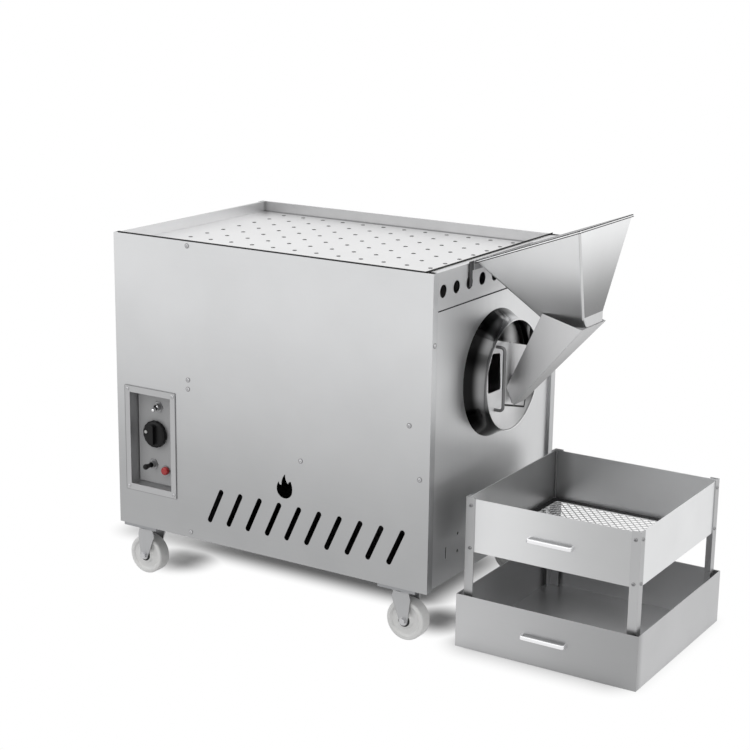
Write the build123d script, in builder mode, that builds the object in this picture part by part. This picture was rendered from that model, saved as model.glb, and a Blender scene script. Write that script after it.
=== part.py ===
from build123d import *
import os
from math import atan2, cos, degrees, hypot, radians, sin, sqrt

# Drum nut roaster on castors, with its hooked feed hopper and a two-tier sieve stand.
# Millimetres, +Z up. X runs from the drive end to the mouth end, -Y is the control side.
# The origin is on the floor, under the middle of the whole set.

# Cabinet
cabinet_length = 608.0
cabinet_width = 418.0
panel_height = 500.0
sheet = 1.2
flange_width = 15.0
plate_recess = 5.0
fit_gap = 0.3
touch_gap = 0.05

# Castors
wheel_diameter = 66.5
wheel_width = 26.0
tread_round = 6.0
hub_radius = 13.0
wheel_dish = 3.0
axle_radius = 4.0
axle_head_radius = 7.0
axle_head_height = 4.0
castor_height = 93.5
castor_trail = 5.0
castor_inset_rear = 42.0
castor_inset_mouth = 56.0
castor_inset_side = 32.0
castor_plate_length = 68.0
castor_plate_width = 62.0
castor_plate_thickness = 5.0
castor_hole_radius = 3.5
castor_hole_margin = 8.0
race_radius = 20.0
race_height = 4.0
kingpin_radius = 5.0
kingpin_head_radius = 9.0
kingpin_head_height = 3.0
fork_thickness = 2.5
crown_thickness = 3.0
fork_end_radius = 7.5
fork_shoulder_half = 12.0
hub_gap = 1.0

# Angle-iron frame
angle_leg = 25.0
angle_thickness = 3.0
post_leg = 15.0
post_thickness = 2.0
top_rail_leg = 20.0
top_rail_thickness = 2.0
top_cross_setback = 45.0
gusset_length = 56.0
gusset_width = 56.0

# Louvre slots and flame sign in the side panels
slot_count = 10
slot_pitch = 38.5
slot_length = 66.0
slot_width = 9.0
slot_slant = 65.4
first_slot_from_rear = 204.0
slot_height = 65.3
flame_from_rear = 342.0
flame_foot_height = 104.0

# Mouth end
fascia_height = 60.0
fascia_lip = 14.0
vent_hole_count = 10
vent_hole_margin = 13.7
vent_hole_radius = 10.0
vent_hole_drop = 30.0
hook_slot_width = 11.0
hook_slot_margin = 1.0
mouth_height = 308.0
collar_base_radius = 103.0
collar_rim_radius = 89.0
collar_cone_length = 21.0
collar_lip_length = 12.0
plate_hole_radius = 3.0
plate_hole_y = -107.0
plate_hole_heights = (40.0, 69.0)
plate_slot_y = -144.0
plate_slot_height = 47.0
plate_slot_length = 21.0
plate_slot_width = 4.0

# Loose gate that plugs the mouth
gate_front = 26.2
gate_flange_length = 8.0
gate_turn = 15.0
gate_chord = 50.0
gate_window_round = 3.0
gate_slit_width = 2.2
gate_slit_side = 3.6
gate_slot_round = 5.0
gate_handle_y = -57.0
gate_handle_z = 6.5
gate_handle_length = 101.0
gate_handle_reach = 15.0
gate_handle_bend = 8.0
gate_wire_radius = 2.5

# Drum and its drive
drum_radius = 150.0
drum_sheet = 1.5
drum_length = 350.0
drum_cone_length = 55.0
neck_radius = 94.0
neck_length = 35.0
drum_back_thickness = 3.0
flight_count = 3
flight_height = 24.0
flight_thickness = 2.0
flight_turn = 100.0
flight_steps = 6
flight_margin = 8.0
shaft_radius = 12.5
shaft_end_from_rear = 18.0
bulkhead_from_rear = 146.0
bulkhead_thickness = 2.0
bulkhead_to_drum = 9.0
bulkhead_hole_radius = 20.0
bearing_size = 95.0
bearing_flange = 12.0
bearing_hub_radius = 30.0
bearing_length = 22.0
bearing_corner = 18.0
pulley_from_rear = 24.0
pulley_width = 20.0
drum_pulley_radius = 80.0
motor_pulley_radius = 27.0
groove_depth = 8.0
groove_width = 12.0
belt_width = 11.0
belt_height = 7.0
motor_y = 80.0
motor_height = 110.0
gearhead_size = 90.0
gearhead_length = 36.0
gearhead_round = 8.0
motor_radius = 42.0
motor_length = 54.0
motor_face_from_rear = 52.0
motor_shaft_radius = 7.0
motor_shaft_in = 25.0
bracket_thickness = 3.0

# Rollers under the drum's neck
roller_radius = 18.0
roller_width = 14.0
roller_angle = 35.0
roller_pin_radius = 4.0
roller_bracket_from_face = 38.0
roller_bracket_half = 100.0
roller_bracket_below = 26.0
roller_bracket_above = 19.0
roller_pin_head = 3.0

# Burner and gas line
burner_radius = 13.0
burner_wall = 1.5
burner_spacing = 70.0
burner_height = 62.0
burner_from_rear = 200.0
burner_length = 310.0
burner_slit_count = 9
burner_slit_width = 2.5
manifold_radius = 11.0
manifold_from_rear = 186.0
manifold_overhang = 22.0
burner_rest_from_rear = 470.0
pan_to_bulkhead = 1.0
pan_to_mouth = 46.0
gas_y = -70.0
gas_pipe_radius = 7.0
nozzle_radius = 4.75
nozzle_length = 20.0
inlet_hex = 24.0
inlet_hex_length = 8.0
gland_y = -130.0
gland_height = 40.0
gland_bore = 4.0
gland_radius = 9.0
gland_hex = 24.0
gland_length = 12.0
gland_tail = 10.0

# Rear vents
rear_vent_rows = 6
rear_vent_columns = 3
rear_vent_length = 80.0
rear_vent_width = 6.0
rear_vent_pitch = 18.0
rear_vent_step = 105.0
rear_vent_height = 380.0

# Control box
control_from_rear = 70.0
control_middle_height = 153.0
bezel_width = 106.0
bezel_height = 182.0
recess_width = 85.5
recess_height = 160.0
recess_depth = 22.0
panel_cut_gap = 1.0
power_toggle_x = 1.0
power_toggle_z = 56.0
knob_x = -3.0
knob_z = 9.0
direction_toggle_x = -11.0
direction_toggle_z = -46.0
button_x = 15.0
button_z = -53.5
toggle_lever_length = 19.0
toggle_lever_tip = 3.2
toggle_throw = 12.0
direction_lever_length = 28.0
direction_lever_tip = 4.8
lever_neck = 2.0
bushing_radius = 5.9
bushing_reach = 9.0
bushing_bore = 4.8
bushing_bore_depth = 11.0
toggle_nut = 17.0
toggle_nut_height = 3.0
toggle_body_width = 14.0
toggle_body_height = 26.0
toggle_body_depth = 24.0
knob_radius = 23.5
knob_skirt = 4.0
knob_top_radius = 19.0
knob_height = 15.0
knob_bar_width = 9.0
knob_bar_length = 34.0
knob_bar_height = 6.0
knob_shaft_radius = 3.0
knob_shaft_length = 22.0
knob_gap = 1.0
pot_radius = 16.0
pot_depth = 20.0
pot_bushing_radius = 5.0
pot_bushing_reach = 3.0
button_radius = 7.0
button_reach = 6.0
button_travel = 4.0
button_stem = 10.0
button_ring_radius = 9.5
button_ring_height = 2.5
button_body_depth = 24.0

# Top tray
tray_depth = 18.0
tray_sheet = 1.0
tray_side_gap = 1.5
tray_hole_radius = 3.0
tray_hole_columns = 12
tray_hole_rows = 9
tray_hole_pitch_x = 42.4
tray_hole_pitch_y = 45.3

# Feed hopper, measured outwards from the mouth end, up and down from the panel's top, and for the
# chute's tip down from the mouth's middle
hopper_back_rise = 2.5
hopper_back_half = 92.0
hopper_front = 177.0
hopper_front_rise = 67.0
hopper_front_half = 94.5
throat_back = 77.0
throat_back_drop = 90.3
throat_front = 151.4
throat_front_drop = 82.0
throat_half = 36.0
throat_offset = 22.5
spigot_height = 16.5
spigot_taper = 11.0
chute_back = 85.0
chute_back_drop = 81.5
chute_half = 43.75
chute_offset = 21.75
chute_tip_front = 40.5
chute_tip_front_drop = 42.5
chute_tip_back = 27.6
chute_tip_back_drop = 15.3
hook_width = 8.0
hook_thickness = 2.0
hook_reach = 14.0
hook_hole_index = 2
hook_strap_height = 14.0

# Sieve stand
stand_gap = 25.5
catch_length = 305.0
catch_depth = 324.0
catch_height = 86.5
catch_middle_y = 0.0
stand_margin_x = 8.0
stand_margin_y = 9.2
leg_leg = 15.0
leg_thickness = 1.5
leg_top = 243.5
sieve_bottom = 156.0
sieve_top = 241.5
sieve_flange = 12.0
mesh_thickness = 1.0
mesh_margin = 16.0
mesh_columns = 16
mesh_rows = 17
mesh_web = 3.0
handle_length = 76.0
handle_width = 6.5
handle_reach = 10.0
handle_thickness = 3.5
handle_round = 4.0
sieve_handle_height = 196.0
catch_handle_height = 44.0

# Places that follow from the sizes above
inlet_reach = inlet_hex_length + nozzle_length
overall_length = inlet_reach + cabinet_length + stand_gap + catch_length
x_rear = inlet_reach - overall_length / 2
x_face = x_rear + cabinet_length
x_middle = x_rear + cabinet_length / 2
y_side = cabinet_width / 2
z_base = castor_height
z_top = z_base + panel_height
z_mouth = z_base + mouth_height
x_end_plate = x_face - plate_recess
x_rear_plate = x_rear + plate_recess
frame_half_x = cabinet_length / 2 - plate_recess - sheet
frame_half_y = y_side - sheet
z_tray = z_top - tray_depth
drum_axis = Axis((0, 0, z_mouth), (1, 0, 0))
drum_plane = Plane((0, 0, z_mouth), x_dir=(1, 0, 0), z_dir=(0, -1, 0))
side_plane = Plane((x_middle, -y_side, z_base), x_dir=(1, 0, 0), z_dir=(0, -1, 0))

os.makedirs("parts", exist_ok=True)


def level(height):
    """Horizontal plane at a height, centred on the cabinet."""
    return Plane((x_middle, 0, height))


def across(x):
    """Upright plane facing the mouth end at x, with Y to its right, centred on the drum."""
    return Plane((x, 0, z_mouth), x_dir=(0, 1, 0), z_dir=(1, 0, 0))


# Base ring of angle iron with a gusset plate over each castor
castor_spots = {
    "rear_left": (-cabinet_length / 2 + castor_inset_rear, -y_side + castor_inset_side),
    "rear_right": (-cabinet_length / 2 + castor_inset_rear, y_side - castor_inset_side),
    "mouth_left": (cabinet_length / 2 - castor_inset_mouth, -y_side + castor_inset_side),
    "mouth_right": (cabinet_length / 2 - castor_inset_mouth, y_side - castor_inset_side),
}
x_bulkhead = x_rear + bulkhead_from_rear

with BuildPart() as base_frame:
    with BuildSketch(level(z_base)):
        Rectangle(2 * frame_half_x, 2 * frame_half_y)
        Rectangle(
            2 * (frame_half_x - angle_leg),
            2 * (frame_half_y - angle_leg),
            mode=Mode.SUBTRACT,
        )
        with Locations(*castor_spots.values()):
            Rectangle(gusset_length, gusset_width)
        with Locations((x_bulkhead + bulkhead_thickness / 2 - x_middle, 0)):
            Rectangle(angle_leg, 2 * frame_half_y)
    extrude(amount=angle_thickness)
    with BuildSketch(level(z_base)):
        Rectangle(2 * frame_half_x, 2 * frame_half_y)
        Rectangle(
            2 * (frame_half_x - angle_thickness),
            2 * (frame_half_y - angle_thickness),
            mode=Mode.SUBTRACT,
        )
    extrude(amount=angle_leg)
base_frame.part.label = "base_frame"
export_step(base_frame.part, "parts/base_frame.step")

# Four corner posts, standing inside the base ring and carrying the top rails
z_rail = z_tray - tray_sheet
z_post = z_base + angle_thickness
post_x = frame_half_x - angle_thickness
post_y = frame_half_y - angle_thickness

with BuildPart() as corner_posts:
    with BuildSketch(level(z_post)):
        with Locations((post_x, post_y)):
            Rectangle(post_leg, post_thickness, align=(Align.MAX, Align.MAX))
            Rectangle(post_thickness, post_leg, align=(Align.MAX, Align.MAX))
        mirror(about=Plane.XZ)
        mirror(about=Plane.YZ)
    extrude(amount=z_rail - top_rail_leg - z_post)
corner_posts.part.label = "corner_posts"
export_step(corner_posts.part, "parts/corner_posts.step")

# Top rails that the tray rests on, with a cross bar at each end
with BuildPart() as top_frame:
    with BuildSketch(level(z_rail)):
        with Locations((0, frame_half_y)):
            Rectangle(2 * frame_half_x, top_rail_leg, align=(Align.CENTER, Align.MAX))
        mirror(about=Plane.XZ)
        with Locations((-frame_half_x, 0)):
            Rectangle(top_rail_leg, 2 * frame_half_y, align=(Align.MIN, Align.CENTER))
        with Locations((frame_half_x - top_cross_setback, 0)):
            Rectangle(top_rail_leg, 2 * frame_half_y, align=(Align.MAX, Align.CENTER))
    extrude(amount=-top_rail_thickness)
    with BuildSketch(level(z_rail)):
        with Locations((0, frame_half_y)):
            Rectangle(2 * frame_half_x, top_rail_thickness, align=(Align.CENTER, Align.MAX))
        mirror(about=Plane.XZ)
    extrude(amount=-top_rail_leg)
    with BuildSketch(level(z_rail)):
        with Locations((frame_half_x, frame_half_y)):
            Rectangle(angle_thickness + post_leg, angle_thickness + post_leg, align=(Align.MAX, Align.MAX))
        mirror(about=Plane.XZ)
        mirror(about=Plane.YZ)
    extrude(amount=-top_rail_leg)
top_frame.part.label = "top_frame"
export_step(top_frame.part, "parts/top_frame.step")


def side_panel_outline(side):
    """Folded side panel seen from above: the wall, its two end flanges and their lips.

    side is -1 for the control side and 1 for the far side.
    """
    end = cabinet_length / 2
    half = [
        (end, 0),
        (end, flange_width),
        (end - plate_recess, flange_width),
        (end - plate_recess, flange_width - sheet),
        (end - sheet, flange_width - sheet),
        (end - sheet, sheet),
    ]
    loop = half + [(-x, y) for x, y in reversed(half)]
    return [(x, side * (y_side - y)) for x, y in loop]


first_slot_x = first_slot_from_rear - cabinet_length / 2
slot_middle_x = first_slot_x + slot_pitch * (slot_count - 1) / 2
control_x = control_from_rear - cabinet_length / 2
flame_x = flame_from_rear - cabinet_length / 2

# Control-side panel: control box opening, slanted burner slots and the flame sign
flame_bends = [
    ((-15, 19), (-10.5, 28.5)),
    ((-9.5, 24), (-6, 23)),
    ((-4.5, 33), (1.5, 42)),
    ((3, 31.5), (7, 26)),
    ((8.5, 29.5), (12, 31)),
    ((15, 21), (14, 10)),
]
flame_foot = ((14, 10), (0, 1), (-14, 10))

with BuildPart() as control_side_panel:
    with BuildSketch(level(z_base)):
        with BuildLine():
            Polyline(*side_panel_outline(-1), close=True)
        make_face()
    extrude(amount=panel_height)
    with BuildSketch(side_plane):
        with Locations((slot_middle_x, slot_height)):
            with GridLocations(slot_pitch, 1, slot_count, 1):
                SlotOverall(slot_length, slot_width, rotation=slot_slant)
        with Locations((control_x, control_middle_height)):
            Rectangle(
                recess_width + 2 * (sheet + panel_cut_gap),
                recess_height + 2 * (sheet + panel_cut_gap),
            )
    extrude(amount=sheet, both=True, mode=Mode.SUBTRACT)
    with BuildSketch(
        Plane(
            (x_middle + flame_x, -y_side, z_base + flame_foot_height),
            x_dir=(1, 0, 0),
            z_dir=(0, -1, 0),
        )
    ):
        with BuildLine():
            ThreePointArc(*flame_foot)
            start = flame_foot[-1]
            for middle, end in flame_bends:
                ThreePointArc(start, middle, end)
                start = end
        make_face()
    extrude(amount=sheet, both=True, mode=Mode.SUBTRACT)
control_side_panel.part.label = "control_side_panel"
export_step(control_side_panel.part, "parts/control_side_panel.step")

# Far side panel: the same fold with the burner slots only
with BuildPart() as far_side_panel:
    with BuildSketch(level(z_base)):
        with BuildLine():
            Polyline(*side_panel_outline(1), close=True)
        make_face()
    extrude(amount=panel_height)
    with BuildSketch(side_plane.offset(-cabinet_width)):
        with Locations((slot_middle_x, slot_height)):
            with GridLocations(slot_pitch, 1, slot_count, 1):
                SlotOverall(slot_length, slot_width, rotation=slot_slant)
    extrude(amount=sheet, both=True, mode=Mode.SUBTRACT)
far_side_panel.part.label = "far_side_panel"
export_step(far_side_panel.part, "parts/far_side_panel.step")

# Rear panel behind the side panels' lips, with vents, gas inlet hole and cable gland hole
end_plate_half = frame_half_y
z_burner = z_base + burner_height

with BuildPart() as rear_panel:
    with BuildSketch(Plane((x_rear_plate, 0, z_base), x_dir=(0, 1, 0), z_dir=(1, 0, 0))):
        with Locations((0, panel_height / 2)):
            Rectangle(2 * end_plate_half, panel_height)
        with Locations((0, rear_vent_height)):
            with GridLocations(rear_vent_step, rear_vent_pitch, rear_vent_columns, rear_vent_rows):
                SlotOverall(rear_vent_length, rear_vent_width, mode=Mode.SUBTRACT)
        with Locations((gas_y, burner_height)):
            Circle(gas_pipe_radius + fit_gap, mode=Mode.SUBTRACT)
        with Locations((gland_y, gland_height)):
            Circle(gland_radius + fit_gap, mode=Mode.SUBTRACT)
    extrude(amount=sheet)
rear_panel.part.label = "rear_panel"
export_step(rear_panel.part, "parts/rear_panel.step")

# End plate around the mouth, behind the side panels' lips
collar_wall = sheet
collar_bore_radius = collar_base_radius - collar_wall
end_plate_height = panel_height - fascia_height + 3 * plate_recess

with BuildPart() as end_plate:
    with BuildSketch(Plane((x_end_plate, 0, z_base), x_dir=(0, 1, 0), z_dir=(1, 0, 0))):
        with Locations((0, end_plate_height / 2)):
            Rectangle(2 * end_plate_half, end_plate_height)
        with Locations((0, mouth_height)):
            Circle(collar_bore_radius, mode=Mode.SUBTRACT)
        with Locations(*[(plate_hole_y, height) for height in plate_hole_heights]):
            Circle(plate_hole_radius, mode=Mode.SUBTRACT)
        with Locations((plate_slot_y, plate_slot_height)):
            SlotOverall(plate_slot_length, plate_slot_width, rotation=90, mode=Mode.SUBTRACT)
    extrude(amount=-sheet)
end_plate.part.label = "end_plate"
export_step(end_plate.part, "parts/end_plate.step")

# Vent fascia: a folded strip flush with the flanges, its foot resting on the end plate, with a slot
# above each of the two holes that take the hopper's hooks
fascia_half = y_side - flange_width - fit_gap
z_fascia = z_top - fascia_height
z_vent_hole = z_top - vent_hole_drop
vent_hole_pitch = 2 * (fascia_half - vent_hole_margin) / (vent_hole_count - 1)
hook_hole_y = (hook_hole_index - (vent_hole_count - 1) / 2) * vent_hole_pitch
hook_slot_height = vent_hole_drop - sheet - hook_slot_margin

with BuildPart() as vent_fascia:
    with BuildSketch(Plane((0, fascia_half, 0), x_dir=(1, 0, 0), z_dir=(0, -1, 0))):
        with BuildLine():
            Polyline(
                (x_face, z_fascia),
                (x_face, z_top),
                (x_face - fascia_lip, z_top),
                (x_face - fascia_lip, z_top - sheet),
                (x_face - sheet, z_top - sheet),
                (x_face - sheet, z_fascia + sheet),
                (x_end_plate, z_fascia + sheet),
                (x_end_plate, z_fascia),
                close=True,
            )
        make_face()
    extrude(amount=2 * fascia_half)
    with BuildSketch(Plane((x_face, 0, z_vent_hole), x_dir=(0, 1, 0), z_dir=(1, 0, 0))):
        with GridLocations(vent_hole_pitch, 1, vent_hole_count, 1):
            Circle(vent_hole_radius)
        with Locations((hook_hole_y, 0), (-hook_hole_y, 0)):
            Rectangle(hook_slot_width, hook_slot_height, align=(Align.CENTER, Align.MIN))
    extrude(amount=sheet, both=True, mode=Mode.SUBTRACT)
vent_fascia.part.label = "vent_fascia"
export_step(vent_fascia.part, "parts/vent_fascia.step")

# Polished cone collar around the mouth, ending in a short straight lip
x_lip = x_end_plate + collar_cone_length
x_rim = x_lip + collar_lip_length
lip_bore_radius = collar_rim_radius - collar_wall

with BuildPart() as mouth_collar:
    with BuildSketch(drum_plane):
        with BuildLine():
            Polyline(
                (x_end_plate, collar_base_radius),
                (x_lip, collar_rim_radius),
                (x_rim, collar_rim_radius),
                (x_rim, lip_bore_radius),
                (x_lip, lip_bore_radius),
                (x_end_plate, collar_bore_radius),
                close=True,
            )
        make_face()
    revolve(axis=drum_axis)
mouth_collar.part.label = "mouth_collar"
export_step(mouth_collar.part, "parts/mouth_collar.step")

# Loose gate: a flanged disc that plugs into the collar's lip, with a finger slot behind its handle,
# a window that the chute's tip leads into, a slit that frees a tongue under the window and its top
# cut off straight at a slant
x_gate = x_face + gate_front
gate_radius = lip_bore_radius - fit_gap
gate_window_shares = [(-0.21, -0.19), (-0.05, 0), (0.7, 0.06), (0.72, -0.52), (0.02, -0.54)]
gate_slot_shares = [(-0.78, 0.55), (-0.47, 0.5), (-0.41, -0.17), (-0.91, -0.16), (-0.93, 0.23)]
gate_window = [(gate_radius * y, gate_radius * z) for y, z in gate_window_shares]
gate_slot = [(gate_radius * y, gate_radius * z) for y, z in gate_slot_shares]
gate_slit_left = -0.135 * gate_radius
gate_slit_right = 0.69 * gate_radius
gate_slit_drop = 0.57 * gate_radius
gate_slit_rise = 0.28 * gate_radius
gate_across = (0, cos(radians(gate_turn)), -sin(radians(gate_turn)))
gate_plane = Plane((x_gate, 0, z_mouth), x_dir=gate_across, z_dir=(1, 0, 0))

with BuildPart() as mouth_gate:
    with BuildSketch(gate_plane):
        Circle(gate_radius)
    extrude(amount=-gate_flange_length)
    with BuildSketch(gate_plane.offset(-sheet)):
        Circle(gate_radius - sheet)
    extrude(amount=-gate_flange_length, mode=Mode.SUBTRACT)
    with BuildSketch(gate_plane):
        with Locations((0, gate_chord)):
            Rectangle(2 * gate_radius, gate_radius, align=(Align.CENTER, Align.MIN))
    extrude(amount=-gate_flange_length, mode=Mode.SUBTRACT)
    with BuildSketch(across(x_gate)):
        with BuildLine():
            Polyline(*gate_window, close=True)
        make_face()
        fillet(vertices(), gate_window_round)
    extrude(amount=-sheet, mode=Mode.SUBTRACT)
    with BuildSketch(across(x_gate)):
        with BuildLine():
            Polyline(*gate_slot, close=True)
        make_face()
        fillet(vertices(), gate_slot_round)
    extrude(amount=-sheet, mode=Mode.SUBTRACT)
    with BuildSketch(gate_plane):
        with Locations((gate_slit_right, -gate_slit_drop)):
            Rectangle(
                gate_slit_right - gate_slit_left,
                gate_slit_width,
                align=(Align.MAX, Align.MIN),
            )
            Rectangle(gate_slit_side, gate_slit_rise, align=(Align.MAX, Align.MIN))
    extrude(amount=-sheet, mode=Mode.SUBTRACT)
mouth_gate.part.label = "mouth_gate"
export_step(mouth_gate.part, "parts/mouth_gate.step")

# Bent-wire handle welded to the gate
gate_handle_plane = Plane(
    (x_gate, gate_handle_y, z_mouth + gate_handle_z),
    x_dir=(1, 0, 0),
    z_dir=(0, -1, 0),
)

with BuildPart() as gate_handle:
    with BuildLine(gate_handle_plane) as gate_wire:
        FilletPolyline(
            (0, -gate_handle_length / 2),
            (gate_handle_reach, -gate_handle_length / 2),
            (gate_handle_reach, gate_handle_length / 2),
            (0, gate_handle_length / 2),
            radius=gate_handle_bend,
        )
    with BuildSketch(Plane(gate_wire.line @ 0, z_dir=gate_wire.line % 0)):
        Circle(gate_wire_radius)
    sweep(path=gate_wire.line)
gate_handle.part.label = "gate_handle"
export_step(gate_handle.part, "parts/gate_handle.step")

# Roasting drum: rolled shell, end cone with its neck, back plate and helical flights
x_drum_back = x_bulkhead + bulkhead_thickness + bulkhead_to_drum
x_shell = x_drum_back + drum_back_thickness
x_cone = x_shell + drum_length
x_neck = x_cone + drum_cone_length
x_neck_end = x_neck + neck_length
drum_bore_radius = drum_radius - drum_sheet

with BuildPart() as drum_shell:
    with BuildSketch(across(x_shell)):
        Circle(drum_radius)
        Circle(drum_bore_radius, mode=Mode.SUBTRACT)
    extrude(amount=drum_length)
drum_shell.part.label = "drum_shell"
export_step(drum_shell.part, "parts/drum_shell.step")

with BuildPart() as drum_cone:
    with BuildSketch(drum_plane):
        with BuildLine():
            Polyline(
                (x_cone, drum_radius),
                (x_neck, neck_radius),
                (x_neck_end, neck_radius),
                (x_neck_end, neck_radius - drum_sheet),
                (x_neck, neck_radius - drum_sheet),
                (x_cone, drum_bore_radius),
                close=True,
            )
        make_face()
    revolve(axis=drum_axis)
drum_cone.part.label = "drum_cone"
export_step(drum_cone.part, "parts/drum_cone.step")

with BuildPart() as drum_back:
    with BuildSketch(across(x_drum_back)):
        Circle(drum_radius)
    extrude(amount=drum_back_thickness)
drum_back.part.label = "drum_back"
export_step(drum_back.part, "parts/drum_back.step")


def flight_section(x, turn):
    """Plane of a flight's cross-section at x, turned about the drum's axis, with Y outwards."""
    outwards = (0, sin(radians(turn)), cos(radians(turn)))
    return Plane((x, 0, z_mouth), x_dir=(0, outwards[2], -outwards[1]), z_dir=(1, 0, 0))


flight_length = drum_length - 2 * flight_margin
flight_middle_radius = drum_bore_radius - fit_gap - flight_height / 2

with BuildPart() as drum_flights:
    for flight in range(flight_count):
        for step in range(flight_steps + 1):
            share = step / flight_steps
            turn = 360 * flight / flight_count + flight_turn * share
            with BuildSketch(flight_section(x_shell + flight_margin + flight_length * share, turn)):
                with Locations((0, flight_middle_radius)):
                    Rectangle(flight_thickness, flight_height)
        loft(ruled=True)
drum_flights.part.label = "drum_flights"
export_step(drum_flights.part, "parts/drum_flights.step")

x_shaft_end = x_rear + shaft_end_from_rear

with BuildPart() as drum_shaft:
    with BuildSketch(across(x_shaft_end)):
        Circle(shaft_radius)
    extrude(amount=x_drum_back - x_shaft_end)
drum_shaft.part.label = "drum_shaft"
export_step(drum_shaft.part, "parts/drum_shaft.step")


def pulley_outline(radius):
    """Half profile of a grooved belt pulley along its axis, from its bore's middle outwards."""
    near = x_rear + pulley_from_rear
    far = near + pulley_width
    cheek = (pulley_width - groove_width) / 2
    return [
        (near, 0),
        (near, radius),
        (near + cheek, radius),
        (near + cheek, radius - groove_depth),
        (far - cheek, radius - groove_depth),
        (far - cheek, radius),
        (far, radius),
        (far, 0),
    ]


with BuildPart() as drum_pulley:
    with BuildSketch(drum_plane):
        with BuildLine():
            Polyline(*pulley_outline(drum_pulley_radius), close=True)
        make_face()
    revolve(axis=drum_axis)
    with BuildSketch(across(x_rear + pulley_from_rear)):
        Circle(shaft_radius + touch_gap)
    extrude(amount=pulley_width, mode=Mode.SUBTRACT)
drum_pulley.part.label = "drum_pulley"
export_step(drum_pulley.part, "parts/drum_pulley.step")

# Bulkhead between the drive bay and the roasting chamber, carrying the drum's bearing
with BuildPart() as bulkhead:
    with BuildSketch(Plane((x_bulkhead, 0, z_post), x_dir=(0, 1, 0), z_dir=(1, 0, 0))):
        with Locations((0, (z_rail - top_rail_thickness - z_post) / 2)):
            Rectangle(2 * (frame_half_y - angle_thickness), z_rail - top_rail_thickness - z_post)
        with Locations((0, z_mouth - z_post)):
            Circle(bulkhead_hole_radius, mode=Mode.SUBTRACT)
        with Locations((gas_y, z_burner - z_post)):
            Circle(gas_pipe_radius + fit_gap, mode=Mode.SUBTRACT)
    extrude(amount=bulkhead_thickness)
bulkhead.part.label = "bulkhead"
export_step(bulkhead.part, "parts/bulkhead.step")

with BuildPart() as shaft_bearing:
    with BuildSketch(across(x_bulkhead)):
        RectangleRounded(bearing_size, bearing_size, bearing_corner)
    extrude(amount=-bearing_flange)
    with BuildSketch(across(x_bulkhead)):
        Circle(bearing_hub_radius)
    extrude(amount=-bearing_length)
    with BuildSketch(across(x_bulkhead)):
        Circle(shaft_radius + touch_gap)
    extrude(amount=-bearing_length, mode=Mode.SUBTRACT)
shaft_bearing.part.label = "shaft_bearing"
export_step(shaft_bearing.part, "parts/shaft_bearing.step")

# Gearmotor on its folded bracket, its pulley and the belt up to the drum
z_motor = z_base + motor_height
x_motor_face = x_rear + motor_face_from_rear
motor_plane = Plane((0, motor_y, z_motor), x_dir=(1, 0, 0), z_dir=(0, -1, 0))
motor_axis = Axis((0, motor_y, z_motor), (1, 0, 0))


def at_motor(x):
    """Upright plane facing the mouth end at x, centred on the motor's shaft."""
    return Plane((x, motor_y, z_motor), x_dir=(0, 1, 0), z_dir=(1, 0, 0))


with BuildPart() as gearmotor:
    with BuildSketch(at_motor(x_motor_face)):
        RectangleRounded(gearhead_size, gearhead_size, gearhead_round)
    extrude(amount=gearhead_length)
    with BuildSketch(at_motor(x_motor_face + gearhead_length)):
        Circle(motor_radius)
    extrude(amount=motor_length)
    with BuildSketch(at_motor(x_motor_face)):
        Circle(motor_shaft_radius + touch_gap)
    extrude(amount=motor_shaft_in, mode=Mode.SUBTRACT)
gearmotor.part.label = "gearmotor"
export_step(gearmotor.part, "parts/gearmotor.step")

x_foot_end = x_bulkhead
x_foot_start = x_rear_plate + sheet + angle_thickness + bracket_thickness
bracket_top = z_motor + gearhead_size / 3

with BuildPart() as motor_bracket:
    with BuildSketch(Plane.XY.offset(z_post)):
        with Locations(((x_foot_start + x_foot_end) / 2, motor_y)):
            Rectangle(x_foot_end - x_foot_start, gearhead_size)
    extrude(amount=bracket_thickness)
    with BuildSketch(at_motor(x_motor_face)):
        with Locations((0, (z_post + bracket_top) / 2 - z_motor)):
            Rectangle(gearhead_size, bracket_top - z_post)
        Circle(2 * motor_shaft_radius, mode=Mode.SUBTRACT)
    extrude(amount=-bracket_thickness)
motor_bracket.part.label = "motor_bracket"
export_step(motor_bracket.part, "parts/motor_bracket.step")

with BuildPart() as motor_pulley:
    with BuildSketch(motor_plane):
        with BuildLine():
            Polyline(*pulley_outline(motor_pulley_radius), close=True)
        make_face()
    revolve(axis=motor_axis)
    with BuildSketch(at_motor(x_rear + pulley_from_rear)):
        Circle(motor_shaft_radius)
    extrude(amount=x_motor_face + motor_shaft_in - touch_gap - x_rear - pulley_from_rear)
motor_pulley.part.label = "motor_pulley"
export_step(motor_pulley.part, "parts/motor_pulley.step")

x_belt = x_rear + pulley_from_rear + (pulley_width - belt_width) / 2
belt_inner = -groove_depth + fit_gap


def belt_loop(lift):
    """Outline of the belt's loop around both pulleys, lift above their rims."""
    with BuildSketch() as loop:
        with Locations((0, 0)):
            Circle(drum_pulley_radius + lift)
        with Locations((motor_y, z_motor - z_mouth)):
            Circle(motor_pulley_radius + lift)
        make_hull()
    return loop.sketch


with BuildPart() as drive_belt:
    with BuildSketch(across(x_belt)):
        add(belt_loop(belt_inner + belt_height))
        add(belt_loop(belt_inner), mode=Mode.SUBTRACT)
    extrude(amount=belt_width)
drive_belt.part.label = "drive_belt"
export_step(drive_belt.part, "parts/drive_belt.step")

# Two rollers under the drum's neck, on pins in a folded bracket behind the end plate
x_roller_bracket = x_face - roller_bracket_from_face
x_plate_back = x_end_plate - sheet
x_roller = x_roller_bracket + angle_thickness + hub_gap
roller_orbit = neck_radius + roller_radius + fit_gap
roller_y = roller_orbit * sin(radians(roller_angle))
roller_z = -roller_orbit * cos(radians(roller_angle))
neck_clear_radius = neck_radius + angle_thickness

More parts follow.
